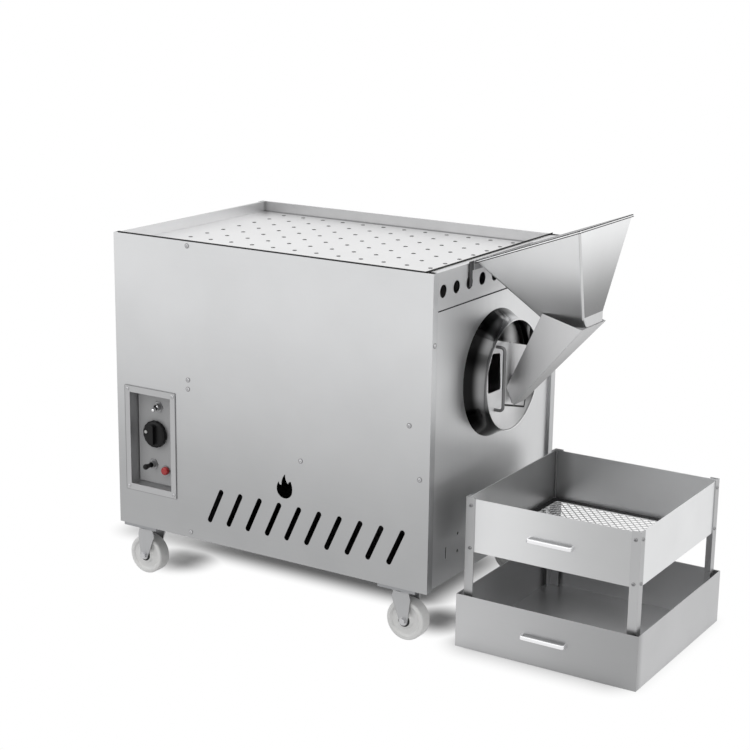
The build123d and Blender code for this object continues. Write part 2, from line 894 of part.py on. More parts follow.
with BuildPart() as roller_bracket:
    with BuildSketch(across(x_roller_bracket)):
        with Locations((0, roller_z + (roller_bracket_above - roller_bracket_below) / 2)):
            Rectangle(2 * roller_bracket_half, roller_bracket_above + roller_bracket_below)
        Circle(neck_clear_radius, mode=Mode.SUBTRACT)
    extrude(amount=angle_thickness)
    with BuildSketch(across(x_roller_bracket)):
        with Locations((roller_bracket_half, roller_z)):
            Rectangle(
                angle_thickness,
                2 * roller_bracket_above,
                align=(Align.MAX, Align.CENTER),
            )
        mirror(about=Plane.YZ)
    extrude(amount=x_plate_back - x_roller_bracket)
    with BuildSketch(across(x_roller_bracket)):
        with Locations((roller_y, roller_z), (-roller_y, roller_z)):
            Circle(roller_pin_radius + touch_gap)
    extrude(amount=angle_thickness, mode=Mode.SUBTRACT)
roller_bracket.part.label = "roller_bracket"
export_step(roller_bracket.part, "parts/roller_bracket.step")

with BuildPart() as roller_pins:
    with BuildSketch(across(x_roller_bracket - roller_pin_head)):
        with Locations((roller_y, roller_z), (-roller_y, roller_z)):
            Circle(1.6 * roller_pin_radius)
    extrude(amount=roller_pin_head)
    with BuildSketch(across(x_roller_bracket)):
        with Locations((roller_y, roller_z), (-roller_y, roller_z)):
            Circle(roller_pin_radius)
    extrude(amount=x_roller + roller_width + roller_pin_head - x_roller_bracket)
roller_pins.part.label = "roller_pins"
export_step(roller_pins.part, "parts/roller_pins.step")

for name, y in (("roller_left", -roller_y), ("roller_right", roller_y)):
    with BuildPart() as roller:
        with BuildSketch(across(x_roller)):
            with Locations((y, roller_z)):
                Circle(roller_radius)
                Circle(roller_pin_radius + touch_gap, mode=Mode.SUBTRACT)
        extrude(amount=roller_width)
    roller.part.label = name
    export_step(roller.part, f"parts/{name}.step")

# Burner: three slotted tubes on a cross manifold, resting on a notched stand over a heat pan
x_manifold = x_rear + manifold_from_rear
x_burner = x_rear + burner_from_rear
burner_rows = [-burner_spacing, 0, burner_spacing]
slit_pitch = burner_length / (burner_slit_count + 1)

with BuildPart() as burner:
    with BuildSketch(Plane((x_manifold, -burner_spacing - manifold_overhang, z_burner), z_dir=(0, 1, 0))):
        Circle(manifold_radius)
    extrude(amount=2 * (burner_spacing + manifold_overhang))
    with BuildSketch(Plane((x_manifold, 0, z_burner), x_dir=(0, 1, 0), z_dir=(1, 0, 0))):
        with Locations(*[(y, 0) for y in burner_rows]):
            Circle(burner_radius)
    extrude(amount=x_burner + burner_length - x_manifold)
    with BuildSketch(Plane((x_burner + burner_length, 0, z_burner), x_dir=(0, 1, 0), z_dir=(1, 0, 0))):
        with Locations(*[(y, 0) for y in burner_rows]):
            Circle(burner_radius - burner_wall)
    extrude(amount=-burner_length, mode=Mode.SUBTRACT)
    with BuildSketch(Plane.XY.offset(z_burner + burner_radius / 2)):
        with Locations((x_burner + burner_length / 2, 0)):
            with GridLocations(slit_pitch, burner_spacing, burner_slit_count, len(burner_rows)):
                Rectangle(burner_slit_width, burner_radius)
    extrude(amount=burner_radius, mode=Mode.SUBTRACT)
burner.part.label = "burner"
export_step(burner.part, "parts/burner.step")

pan_start = x_bulkhead + bulkhead_thickness + pan_to_bulkhead
pan_length = x_face - pan_to_mouth - pan_start

with BuildPart() as heat_pan:
    with BuildSketch(Plane.XY.offset(z_post)):
        with Locations((pan_start + pan_length / 2, 0)):
            Rectangle(pan_length, 2 * (frame_half_y - angle_thickness - fit_gap))
    extrude(amount=sheet)
heat_pan.part.label = "heat_pan"
export_step(heat_pan.part, "parts/heat_pan.step")

x_burner_rest = x_rear + burner_rest_from_rear
rest_height = z_burner - z_post - sheet

with BuildPart() as burner_rest:
    with BuildSketch(Plane((x_burner_rest, 0, z_burner), x_dir=(0, 1, 0), z_dir=(1, 0, 0))):
        Rectangle(2 * (burner_spacing + manifold_overhang), rest_height, align=(Align.CENTER, Align.MAX))
        with Locations(*[(y, 0) for y in burner_rows]):
            Circle(burner_radius + fit_gap, mode=Mode.SUBTRACT)
    extrude(amount=angle_thickness)
burner_rest.part.label = "burner_rest"
export_step(burner_rest.part, "parts/burner_rest.step")

# Gas line: outside hose nozzle with its hexagon, and the pipe inside to the manifold
gas_plane = Plane((x_rear_plate, gas_y, z_burner), x_dir=(0, 1, 0), z_dir=(1, 0, 0))
x_manifold_side = x_manifold - manifold_radius - fit_gap

with BuildPart() as gas_inlet:
    with BuildSketch(gas_plane):
        RegularPolygon(inlet_hex / 2, 6, major_radius=False)
    extrude(amount=-inlet_hex_length)
    with BuildSketch(gas_plane.offset(-inlet_hex_length)):
        Circle(nozzle_radius)
    extrude(amount=-nozzle_length - plate_recess)
gas_inlet.part.label = "gas_inlet"
export_step(gas_inlet.part, "parts/gas_inlet.step")

with BuildPart() as gas_pipe:
    with BuildSketch(gas_plane):
        Circle(gas_pipe_radius)
    extrude(amount=x_manifold_side - x_rear_plate)
gas_pipe.part.label = "gas_pipe"
export_step(gas_pipe.part, "parts/gas_pipe.step")

# Cable gland in the rear panel
gland_plane = Plane((x_rear_plate, gland_y, z_base + gland_height), x_dir=(0, 1, 0), z_dir=(1, 0, 0))

with BuildPart() as cable_gland:
    with BuildSketch(gland_plane):
        RegularPolygon(gland_hex / 2, 6, major_radius=False)
    extrude(amount=-gland_length)
    with BuildSketch(gland_plane):
        Circle(gland_radius)
    extrude(amount=gland_tail)
    with BuildSketch(gland_plane.offset(-gland_length)):
        Circle(gland_bore)
    extrude(amount=gland_length + gland_tail, mode=Mode.SUBTRACT)
cable_gland.part.label = "cable_gland"
export_step(cable_gland.part, "parts/cable_gland.step")

# Castors: fixed plate with race and kingpin, swivelling fork with axle, nylon wheel
axle_height = wheel_diameter / 2
z_plate = z_base - castor_plate_thickness
z_race = z_plate - race_height
z_crown = z_race - fit_gap
z_crown_under = z_crown - crown_thickness
hole_x = castor_plate_length - 2 * castor_hole_margin
hole_y = castor_plate_width - 2 * castor_hole_margin

with BuildPart() as castor_plates:
    with BuildSketch(level(z_plate)):
        with Locations(*castor_spots.values()):
            Rectangle(castor_plate_length, castor_plate_width)
            with GridLocations(hole_x, hole_y, 2, 2):
                Circle(castor_hole_radius, mode=Mode.SUBTRACT)
    extrude(amount=castor_plate_thickness)
    with BuildSketch(level(z_race)):
        with Locations(*castor_spots.values()):
            Circle(race_radius)
    extrude(amount=race_height)
    with BuildSketch(level(z_race)):
        with Locations(*castor_spots.values()):
            Circle(kingpin_radius)
    extrude(amount=-fit_gap - crown_thickness - fit_gap)
    with BuildSketch(level(z_crown_under - fit_gap)):
        with Locations(*castor_spots.values()):
            Circle(kingpin_head_radius)
    extrude(amount=-kingpin_head_height)
castor_plates.part.label = "castor_plates"
export_step(castor_plates.part, "parts/castor_plates.step")

leg_inner = wheel_width / 2 + hub_gap
leg_outer = leg_inner + fork_thickness
crown_half = race_radius + fork_thickness

for corner, (spot_x, spot_y) in castor_spots.items():
    swivel_x = x_middle + spot_x
    lean = castor_trail if spot_x < 0 else -castor_trail
    axle_x = swivel_x - lean
    wheel_axis = Axis((axle_x, spot_y, axle_height), (0, 1, 0))
    wheel_plane = Plane((axle_x, spot_y, axle_height), x_dir=(0, 1, 0), z_dir=(1, 0, 0))
    fork_plane = Plane((axle_x, spot_y, axle_height), x_dir=(1, 0, 0), z_dir=(0, -1, 0))

    with BuildPart() as castor_fork:
        with BuildSketch(Plane((swivel_x, spot_y, z_crown_under))):
            Circle(crown_half)
            Rectangle(2 * fork_shoulder_half, 2 * leg_outer)
            Circle(kingpin_radius + touch_gap, mode=Mode.SUBTRACT)
        extrude(amount=crown_thickness)
        with BuildSketch(fork_plane.offset(leg_inner), fork_plane.offset(-leg_inner - fork_thickness)):
            Circle(fork_end_radius)
            with Locations((lean, z_crown_under + crown_thickness / 2 - axle_height)):
                Rectangle(2 * fork_shoulder_half, crown_thickness)
            make_hull()
        extrude(amount=fork_thickness)
        with BuildSketch(fork_plane.offset(leg_outer + axle_head_height)):
            Circle(axle_head_radius)
        extrude(amount=-axle_head_height)
        with BuildSketch(fork_plane.offset(-leg_outer)):
            Circle(axle_head_radius)
        extrude(amount=-axle_head_height)
        with BuildSketch(fork_plane.offset(leg_outer)):
            Circle(axle_radius)
        extrude(amount=-2 * leg_outer)
    castor_fork.part.label = f"castor_fork_{corner}"
    export_step(castor_fork.part, f"parts/castor_fork_{corner}.step")

    with BuildPart() as castor_wheel:
        with BuildSketch(wheel_plane):
            Rectangle(wheel_width, axle_height, align=(Align.CENTER, Align.MIN))
            fillet(vertices().group_by(Axis.Y)[-1], tread_round)
            with Locations((wheel_width / 2, hub_radius)):
                Rectangle(
                    wheel_dish,
                    axle_height - tread_round - 1.5 * hub_radius,
                    align=(Align.MAX, Align.MIN),
                    mode=Mode.SUBTRACT,
                )
            with Locations((-wheel_width / 2, hub_radius)):
                Rectangle(
                    wheel_dish,
                    axle_height - tread_round - 1.5 * hub_radius,
                    align=(Align.MIN, Align.MIN),
                    mode=Mode.SUBTRACT,
                )
            Rectangle(
                wheel_width,
                axle_radius + touch_gap,
                align=(Align.CENTER, Align.MIN),
                mode=Mode.SUBTRACT,
            )
        revolve(axis=wheel_axis)
    castor_wheel.part.label = f"castor_wheel_{corner}"
    export_step(castor_wheel.part, f"parts/castor_wheel_{corner}.step")

# Control box: bezel plate folded into a shallow recess, with holes for the controls
y_control_back = -y_side + recess_depth
control_centre_x = x_middle + control_x
control_centre_z = z_base + control_middle_height


def control_plane(y):
    """Upright plane at y facing the operator, centred on the control box."""
    return Plane((control_centre_x, y, control_centre_z), x_dir=(1, 0, 0), z_dir=(0, -1, 0))


toggle_spots = [(power_toggle_x, power_toggle_z), (direction_toggle_x, direction_toggle_z)]

with BuildPart() as control_box:
    with BuildSketch(control_plane(-y_side)):
        Rectangle(bezel_width, bezel_height)
    extrude(amount=sheet)
    with BuildSketch(control_plane(-y_side)):
        Rectangle(recess_width + 2 * sheet, recess_height + 2 * sheet)
    extrude(amount=-recess_depth - sheet)
    with BuildSketch(control_plane(y_control_back)):
        Rectangle(recess_width, recess_height)
    extrude(amount=recess_depth + sheet, mode=Mode.SUBTRACT)
    with BuildSketch(control_plane(y_control_back)):
        with Locations(*toggle_spots):
            Circle(bushing_radius + touch_gap)
        with Locations((knob_x, knob_z)):
            Circle(pot_bushing_radius + touch_gap)
        with Locations((button_x, button_z)):
            Circle(button_radius + sheet + touch_gap)
    extrude(amount=-sheet, mode=Mode.SUBTRACT)
control_box.part.label = "control_box"
export_step(control_box.part, "parts/control_box.step")

y_control_rear = y_control_back + sheet

# Both toggle switches' bodies, with their bushings and hexagon nuts
with BuildPart() as toggle_bodies:
    with BuildSketch(control_plane(y_control_rear)):
        with Locations(*toggle_spots):
            Rectangle(toggle_body_width, toggle_body_height)
    extrude(amount=-toggle_body_depth)
    with BuildSketch(control_plane(y_control_rear)):
        with Locations(*toggle_spots):
            Circle(bushing_radius)
    extrude(amount=sheet + bushing_reach)
    with BuildSketch(control_plane(y_control_back)):
        with Locations(*toggle_spots):
            RegularPolygon(toggle_nut / 2, 6, major_radius=False)
    extrude(amount=toggle_nut_height)
    with BuildSketch(control_plane(y_control_back - bushing_reach)):
        with Locations(*toggle_spots):
            Circle(bushing_bore)
    extrude(amount=-bushing_bore_depth, mode=Mode.SUBTRACT)
toggle_bodies.part.label = "toggle_bodies"
export_step(toggle_bodies.part, "parts/toggle_bodies.step")

lever_ball = bushing_bore - fit_gap
y_toggle_pivot = y_control_back - bushing_reach + bushing_bore_depth - lever_ball - fit_gap


def lever_outline(length, tip):
    """Half profile of a bat lever: ball at the pivot, slim neck, rounded tip."""
    with BuildLine() as line:
        ball_start = Line((0, 0), (lever_ball, 0))
        neck_rise = sqrt(lever_ball**2 - lever_neck**2)
        RadiusArc(ball_start @ 1, (lever_neck, neck_rise), -lever_ball)
        Line((lever_neck, neck_rise), (tip, length - tip))
        RadiusArc((tip, length - tip), (0, length), -tip)
        Line((0, length), (0, 0))
    return line.line


lever_specs = {
    "power_toggle": (power_toggle_x, power_toggle_z, toggle_lever_length, toggle_lever_tip, toggle_throw),
    "direction_toggle": (
        direction_toggle_x,
        direction_toggle_z,
        direction_lever_length,
        direction_lever_tip,
        0.0,
    ),
}

for name, (x, z, length, tip, droop) in lever_specs.items():
    outwards = (0, -cos(radians(droop)), -sin(radians(droop)))
    pivot = (control_centre_x + x, y_toggle_pivot, control_centre_z + z)
    reach = length + y_toggle_pivot - y_control_back
    lever_plane = Plane(pivot, x_dir=(1, 0, 0), z_dir=(0, -outwards[2], outwards[1]))
    with BuildPart() as lever:
        with BuildSketch(lever_plane):
            with BuildLine():
                add(lever_outline(reach, tip))
            make_face()
        revolve(axis=Axis(pivot, outwards))
    lever.part.label = name
    export_step(lever.part, f"parts/{name}.step")

# Speed control behind the plate and its knob with a raised grip bar
with BuildPart() as speed_control:
    with BuildSketch(control_plane(y_control_rear)):
        with Locations((knob_x, knob_z)):
            Circle(pot_radius)
    extrude(amount=-pot_depth)
    with BuildSketch(control_plane(y_control_rear)):
        with Locations((knob_x, knob_z)):
            Circle(pot_bushing_radius)
    extrude(amount=sheet + pot_bushing_reach)
    with BuildSketch(control_plane(y_control_back - pot_bushing_reach)):
        with Locations((knob_x, knob_z)):
            Circle(knob_shaft_radius + touch_gap)
    extrude(amount=-knob_shaft_length, mode=Mode.SUBTRACT)
speed_control.part.label = "speed_control"
export_step(speed_control.part, "parts/speed_control.step")

y_knob = y_control_back - pot_bushing_reach - knob_gap

with BuildPart() as speed_knob:
    with BuildSketch(control_plane(y_knob)):
        with Locations((knob_x, knob_z)):
            Circle(knob_radius)
    extrude(amount=knob_skirt)
    fillet(faces().sort_by(Axis.Y)[0].edges(), knob_skirt / 4)
    with BuildSketch(control_plane(y_knob - knob_skirt)):
        with Locations((knob_x, knob_z)):
            Circle(knob_top_radius)
    extrude(amount=knob_height - knob_skirt - knob_bar_height)
    with BuildSketch(control_plane(y_knob - knob_height + knob_bar_height)):
        with Locations((knob_x, knob_z)):
            SlotOverall(knob_bar_length, knob_bar_width, rotation=90)
    extrude(amount=knob_bar_height, taper=8)
    with BuildSketch(control_plane(y_knob)):
        with Locations((knob_x, knob_z)):
            Circle(knob_shaft_radius)
    extrude(amount=-knob_shaft_length + knob_gap)
speed_knob.part.label = "speed_knob"
export_step(speed_knob.part, "parts/speed_knob.step")

# Ignition button in its ring
with BuildPart() as ignition_body:
    with BuildSketch(control_plane(y_control_back)):
        with Locations((button_x, button_z)):
            Circle(button_ring_radius)
    extrude(amount=button_ring_height)
    with BuildSketch(control_plane(y_control_back)):
        with Locations((button_x, button_z)):
            Circle(button_radius + sheet)
    extrude(amount=-button_body_depth)
    with BuildSketch(control_plane(y_control_back - button_ring_height)):
        with Locations((button_x, button_z)):
            Circle(button_radius + touch_gap)
    extrude(amount=-button_ring_height - button_stem - button_travel, mode=Mode.SUBTRACT)
ignition_body.part.label = "ignition_body"
export_step(ignition_body.part, "parts/ignition_body.step")

with BuildPart() as ignition_button:
    with BuildSketch(control_plane(y_control_back + button_stem - fit_gap)):
        with Locations((button_x, button_z)):
            Circle(button_radius)
    extrude(amount=button_stem - fit_gap + button_ring_height + button_reach)
    fillet(faces().sort_by(Axis.Y)[0].edges(), button_reach / 2)
ignition_button.part.label = "ignition_button"
export_step(ignition_button.part, "parts/ignition_button.step")

# Perforated drop-in tray on top
tray_start = x_rear_plate + sheet + tray_side_gap
tray_end = x_face - fascia_lip - tray_side_gap
tray_half = y_side - sheet - tray_side_gap
tray_plane = Plane(((tray_start + tray_end) / 2, 0, z_rail))

with BuildPart() as top_tray:
    with BuildSketch(tray_plane):
        Rectangle(tray_end - tray_start, 2 * tray_half)
    extrude(amount=tray_depth + tray_sheet)
    offset(amount=-tray_sheet, openings=faces().sort_by(Axis.Z)[-1])
    with BuildSketch(tray_plane):
        with GridLocations(tray_hole_pitch_x, tray_hole_pitch_y, tray_hole_columns, tray_hole_rows):
            Circle(tray_hole_radius)
    extrude(amount=tray_sheet, mode=Mode.SUBTRACT)
top_tray.part.label = "top_tray"
export_step(top_tray.part, "parts/top_tray.step")

# Feed hopper: folded funnel whose rim climbs outwards, with a turned-down lip at its back and a
# spigot below its throat that carries on the near wall's taper
hopper_back = fit_gap + hook_thickness
z_rim_back = z_top + hopper_back_rise
rim_run = hopper_front - hopper_back
rim_rise = hopper_front_rise - hopper_back_rise
rim_length = hypot(rim_run, rim_rise)
rim_plane = Plane(
    (x_face + hopper_back, 0, z_rim_back),
    x_dir=(rim_run, 0, rim_rise),
    z_dir=(-rim_rise, 0, rim_run),
)
throat_run = throat_front - throat_back
throat_rise = throat_back_drop - throat_front_drop
throat_length = hypot(throat_run, throat_rise)
throat_plane = Plane(
    (x_face + throat_back, throat_offset, z_top - throat_back_drop),
    x_dir=(throat_run, 0, throat_rise),
    z_dir=(-throat_rise, 0, throat_run),
)
spigot_plane = Plane(
    (x_face + throat_back, throat_offset, z_top - throat_back_drop - spigot_height),
    x_dir=(throat_run, 0, throat_rise),
    z_dir=(-throat_rise, 0, throat_run),
)


def rim_outline(inset):
    """Rim of the funnel on its own plane, inset from the outside."""
    back = hopper_back_half - inset
    front = hopper_front_half - inset
    return [(inset, -back), (rim_length - inset, -front), (rim_length - inset, front), (inset, back)]


def throat_outline(inset, taper=0):
    """Throat of the funnel on its own plane, inset from the outside and drawn in at the near side."""
    near = inset + taper - throat_half
    far = throat_half - inset
    return [(inset, near), (throat_length - inset, near), (throat_length - inset, far), (inset, far)]


with BuildPart() as hopper_funnel:
    with BuildSketch(rim_plane):
        with BuildLine():
            Polyline(*rim_outline(0), close=True)
        make_face()
    with BuildSketch(throat_plane):
        with BuildLine():
            Polyline(*throat_outline(0), close=True)
        make_face()
    loft(ruled=True)
    with BuildSketch(throat_plane):
        with BuildLine():
            Polyline(*throat_outline(0), close=True)
        make_face()
    with BuildSketch(spigot_plane):
        with BuildLine():
            Polyline(*throat_outline(0, spigot_taper), close=True)
        make_face()
    loft(ruled=True)
    with BuildSketch(rim_plane):
        with BuildLine():
            Polyline(*rim_outline(sheet), close=True)
        make_face()
    with BuildSketch(throat_plane):
        with BuildLine():
            Polyline(*throat_outline(sheet), close=True)
        make_face()
    loft(ruled=True, mode=Mode.SUBTRACT)
    with BuildSketch(throat_plane):
        with BuildLine():
            Polyline(*throat_outline(sheet), close=True)
        make_face()
    with BuildSketch(spigot_plane):
        with BuildLine():
            Polyline(*throat_outline(sheet, spigot_taper), close=True)
        make_face()
    loft(ruled=True, mode=Mode.SUBTRACT)
    with BuildSketch(Plane(rim_plane.origin, x_dir=(0, 1, 0), z_dir=(1, 0, 0))):
        Rectangle(2 * hopper_back_half, hook_strap_height, align=(Align.CENTER, Align.MAX))
    extrude(amount=sheet)
hopper_funnel.part.label = "hopper_funnel"
export_step(hopper_funnel.part, "parts/hopper_funnel.step")

# Chute: a tapering channel round the spigot, welded to it along the floor's top edge and open
# towards the mouth
chute_front = throat_front + sheet
z_chute_front = z_top - throat_front_drop - spigot_height - sheet / 2
z_chute_tip = z_mouth - chute_tip_front_drop
chute_wall = [
    (chute_back, z_top - chute_back_drop),
    (chute_front, z_chute_front),
    (chute_tip_front, z_chute_tip),
    (chute_tip_back, z_mouth - chute_tip_back_drop),
]
chute_plane = Plane((x_face, chute_offset, 0), x_dir=(1, 0, 0), z_dir=(0, -1, 0))
chute_rise = z_chute_front - z_chute_tip
chute_run = chute_front - chute_tip_front
chute_slope = degrees(atan2(chute_rise, chute_run))
floor_length = 2 * hypot(chute_rise, chute_run)

with BuildPart() as hopper_chute:
    with BuildSketch(chute_plane):
        with BuildLine():
            Polyline(*chute_wall, close=True)
        make_face()
    extrude(amount=chute_half, both=True)
    with BuildSketch(chute_plane):
        with Locations(Location((chute_tip_front, z_chute_tip), chute_slope)):
            with Locations((0, sheet)):
                Rectangle(floor_length, floor_length, align=(Align.CENTER, Align.MIN))
    extrude(amount=chute_half - sheet, both=True, mode=Mode.SUBTRACT)
hopper_chute.part.label = "hopper_chute"
export_step(hopper_chute.part, "parts/hopper_chute.step")

# Strap behind the funnel's lip, its two hooks slanting down into holes of the fascia
hook_hole_drop = sqrt(vent_hole_radius**2 - (hook_width / 2) ** 2)
z_hook_rest = z_vent_hole - hook_hole_drop + fit_gap
hook_slope_up = sheet + fit_gap
hook_slant = hook_thickness * sqrt(2)
hook_outline = [
    (x_face - hook_reach, z_hook_rest - hook_reach + sheet),
    (x_face + fit_gap, z_hook_rest + hook_slope_up),
    (x_face + fit_gap + hook_thickness, z_hook_rest + hook_slope_up + hook_thickness),
    (x_face + fit_gap + hook_thickness, z_rim_back),
    (x_face + fit_gap, z_rim_back),
    (x_face + fit_gap, z_hook_rest + hook_slope_up + hook_slant),
    (x_face - hook_reach, z_hook_rest - hook_reach + sheet + hook_slant),
]

with BuildPart() as hopper_hooks:
    with BuildSketch(Plane((0, hook_hole_y, 0), x_dir=(1, 0, 0), z_dir=(0, -1, 0))):
        with BuildLine():
            Polyline(*hook_outline, close=True)
        make_face()
    extrude(amount=hook_width / 2, both=True)
    mirror(about=Plane.XZ)
    with BuildSketch(Plane((x_face + fit_gap, 0, z_rim_back), x_dir=(0, 1, 0), z_dir=(1, 0, 0))):
        Rectangle(
            hook_width - 2 * hook_hole_y,
            hook_strap_height,
            align=(Align.CENTER, Align.MAX),
        )
    extrude(amount=hook_thickness)
hopper_hooks.part.label = "hopper_hooks"
export_step(hopper_hooks.part, "parts/hopper_hooks.step")

# Catch tray standing on the floor in front of the mouth
x_catch = x_face + stand_gap
x_stand_middle = x_catch + catch_length / 2


def stand_level(height):
    """Horizontal plane at a height, centred on the sieve stand."""
    return Plane((x_stand_middle, catch_middle_y, height))


with BuildPart() as catch_tray:
    with BuildSketch(stand_level(0)):
        Rectangle(catch_length, catch_depth)
    extrude(amount=catch_height)
    offset(amount=-sheet, openings=faces().sort_by(Axis.Z)[-1])
catch_tray.part.label = "catch_tray"
export_step(catch_tray.part, "parts/catch_tray.step")

# Sieve box: four walls with an inward foot flange that carries the perforated floor
stand_length = catch_length - 2 * stand_margin_x
stand_depth = catch_depth - 2 * stand_margin_y
box_length = stand_length - 2 * leg_thickness
box_depth = stand_depth - 2 * leg_thickness

with BuildPart() as sieve_box:
    with BuildSketch(stand_level(sieve_bottom)):
        Rectangle(box_length, box_depth)
        Rectangle(box_length - 2 * sheet, box_depth - 2 * sheet, mode=Mode.SUBTRACT)
    extrude(amount=sieve_top - sieve_bottom)
    with BuildSketch(stand_level(sieve_bottom)):
        Rectangle(box_length, box_depth)
        Rectangle(box_length - 2 * sieve_flange, box_depth - 2 * sieve_flange, mode=Mode.SUBTRACT)
    extrude(amount=sheet)
sieve_box.part.label = "sieve_box"
export_step(sieve_box.part, "parts/sieve_box.step")

# Perforated sieve floor: one plate with a grid of square openings set corner to corner
mesh_length = box_length - 2 * sheet - 2 * fit_gap
mesh_depth = box_depth - 2 * sheet - 2 * fit_gap
mesh_pitch_x = (mesh_length - 2 * mesh_margin) / mesh_columns
mesh_pitch_y = (mesh_depth - 2 * mesh_margin) / mesh_rows

with BuildPart() as sieve_floor:
    with BuildSketch(stand_level(sieve_bottom + sheet)):
        Rectangle(mesh_length, mesh_depth)
        with GridLocations(mesh_pitch_x, mesh_pitch_y, mesh_columns, mesh_rows):
            Rectangle(mesh_pitch_x - mesh_web, mesh_pitch_y - mesh_web, mode=Mode.SUBTRACT)
    extrude(amount=mesh_thickness)
sieve_floor.part.label = "sieve_floor"
export_step(sieve_floor.part, "parts/sieve_floor.step")

# Four angle legs round the sieve box's corners, standing in the catch tray
z_leg = sheet + fit_gap

with BuildPart() as sieve_legs:
    with BuildSketch(stand_level(z_leg)):
        with Locations((stand_length / 2, stand_depth / 2)):
            Rectangle(leg_leg, leg_thickness, align=(Align.MAX, Align.MAX))
            Rectangle(leg_thickness, leg_leg, align=(Align.MAX, Align.MAX))
        mirror(about=Plane.XZ)
        mirror(about=Plane.YZ)
    extrude(amount=leg_top - z_leg)
sieve_legs.part.label = "sieve_legs"
export_step(sieve_legs.part, "parts/sieve_legs.step")

# Bow handles on the control-side walls of both trays
handle_places = {
    "sieve_handle": (-box_depth / 2, sieve_handle_height),
    "catch_handle": (-catch_depth / 2, catch_handle_height),
}

for name, (wall_y, height) in handle_places.items():
    with BuildPart() as handle:
        with BuildSketch(stand_level(height - handle_width / 2)):
            with Locations((0, wall_y)):
                Rectangle(handle_length, handle_reach, align=(Align.CENTER, Align.MAX))
            fillet(vertices().group_by(Axis.Y)[0], handle_round)
            with Locations((0, wall_y)):
                Rectangle(
                    handle_length - 2 * handle_thickness,
                    handle_reach - handle_thickness,
                    align=(Align.CENTER, Align.MAX),
                    mode=Mode.SUBTRACT,
                )
        extrude(amount=handle_width)
        fillet(edges().group_by(Axis.Y)[0], handle_thickness / 3)
    handle.part.label = name
    export_step(handle.part, f"parts/{name}.step")
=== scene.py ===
"""Looks of a drum nut roaster with its hooked feed hopper and two-tier sieve stand.

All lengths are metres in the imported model's frame: +X towards the mouth, -Y the control side, +Z up.
"""

import logging
from dataclasses import dataclass
from enum import Enum
from math import cos, radians, sin
from typing import Sequence

import bmesh
import bpy
import numpy as np
from mathutils import Matrix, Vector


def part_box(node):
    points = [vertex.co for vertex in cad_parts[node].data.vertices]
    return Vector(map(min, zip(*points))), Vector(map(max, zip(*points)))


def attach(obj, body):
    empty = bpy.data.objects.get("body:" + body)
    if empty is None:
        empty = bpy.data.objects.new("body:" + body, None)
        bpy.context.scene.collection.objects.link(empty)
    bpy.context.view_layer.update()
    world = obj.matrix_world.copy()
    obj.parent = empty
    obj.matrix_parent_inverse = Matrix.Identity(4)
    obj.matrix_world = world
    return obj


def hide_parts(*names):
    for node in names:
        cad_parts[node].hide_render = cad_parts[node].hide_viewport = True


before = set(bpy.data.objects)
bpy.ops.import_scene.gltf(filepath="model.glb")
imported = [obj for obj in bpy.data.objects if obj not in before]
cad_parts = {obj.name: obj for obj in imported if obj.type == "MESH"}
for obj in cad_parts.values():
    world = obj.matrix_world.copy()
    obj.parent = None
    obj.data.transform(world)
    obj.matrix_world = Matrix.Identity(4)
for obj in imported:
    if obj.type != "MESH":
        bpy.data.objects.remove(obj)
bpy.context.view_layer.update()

LOG = logging.getLogger("roaster")
Array = np.ndarray
Point = Sequence[float]
Pair = tuple[float, float]
Triple = tuple[float, float, float]
Material = bpy.types.Material
Socket = bpy.types.NodeSocket


class Axis(Enum):
    """Main directions, as the choice for the run of a metal's grain."""

    X = (1.0, 0.0, 0.0)
    Y = (0.0, 1.0, 0.0)
    Z = (0.0, 0.0, 1.0)


X, Y, Z = (axis.value for axis in Axis)
NEAR = (0.0, -1.0, 0.0)  # outwards on the control side
LATHE_START = (0.31, 0.52, 0.79)  # sets where a turned surface starts round its axis
CROSS_LIE = (0.2, 0.3, 0.93)  # sets how a screw's cross lies
WELD, SLIVER = 2e-6, 1e-6  # points this near become one, edges this short are dropped
EASE_ANGLE = 35.0  # degrees above which a bevelled piece's edge is rounded
WHITE = (1.0, 1.0, 1.0, 1.0)


@dataclass
class Shell:
    """A surface as points and faces, ready to become a mesh."""

    points: Array
    faces: list[tuple[int, ...]]


def joined(*shells: Shell) -> Shell:
    """Join surfaces, the faces of each counted on from the points before it.

    Args:
        shells: the surfaces in order.

    Returns:
        The one surface.
    """
    starts = np.cumsum([0] + [len(shell.points) for shell in shells]).tolist()
    faces = [tuple(i + start for i in face) for start, shell in zip(starts, shells) for face in shell.faces]
    return Shell(np.vstack([shell.points for shell in shells]), faces)


def repeated(shell: Shell, spots: Sequence[Point]) -> Shell:
    """Copies of a surface at several places, as one."""
    return joined(*(Shell(shell.points + np.asarray(spot, float), shell.faces) for spot in spots))


def middle(node: str) -> Triple:
    """Middle of a node's box."""
    return tuple((low + high) / 2 for low, high in zip(*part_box(node)))


def unit(vector: Point) -> Array:
    """Vector of length one in the same direction."""
    v = np.asarray(vector, float)
    return v / np.linalg.norm(v)


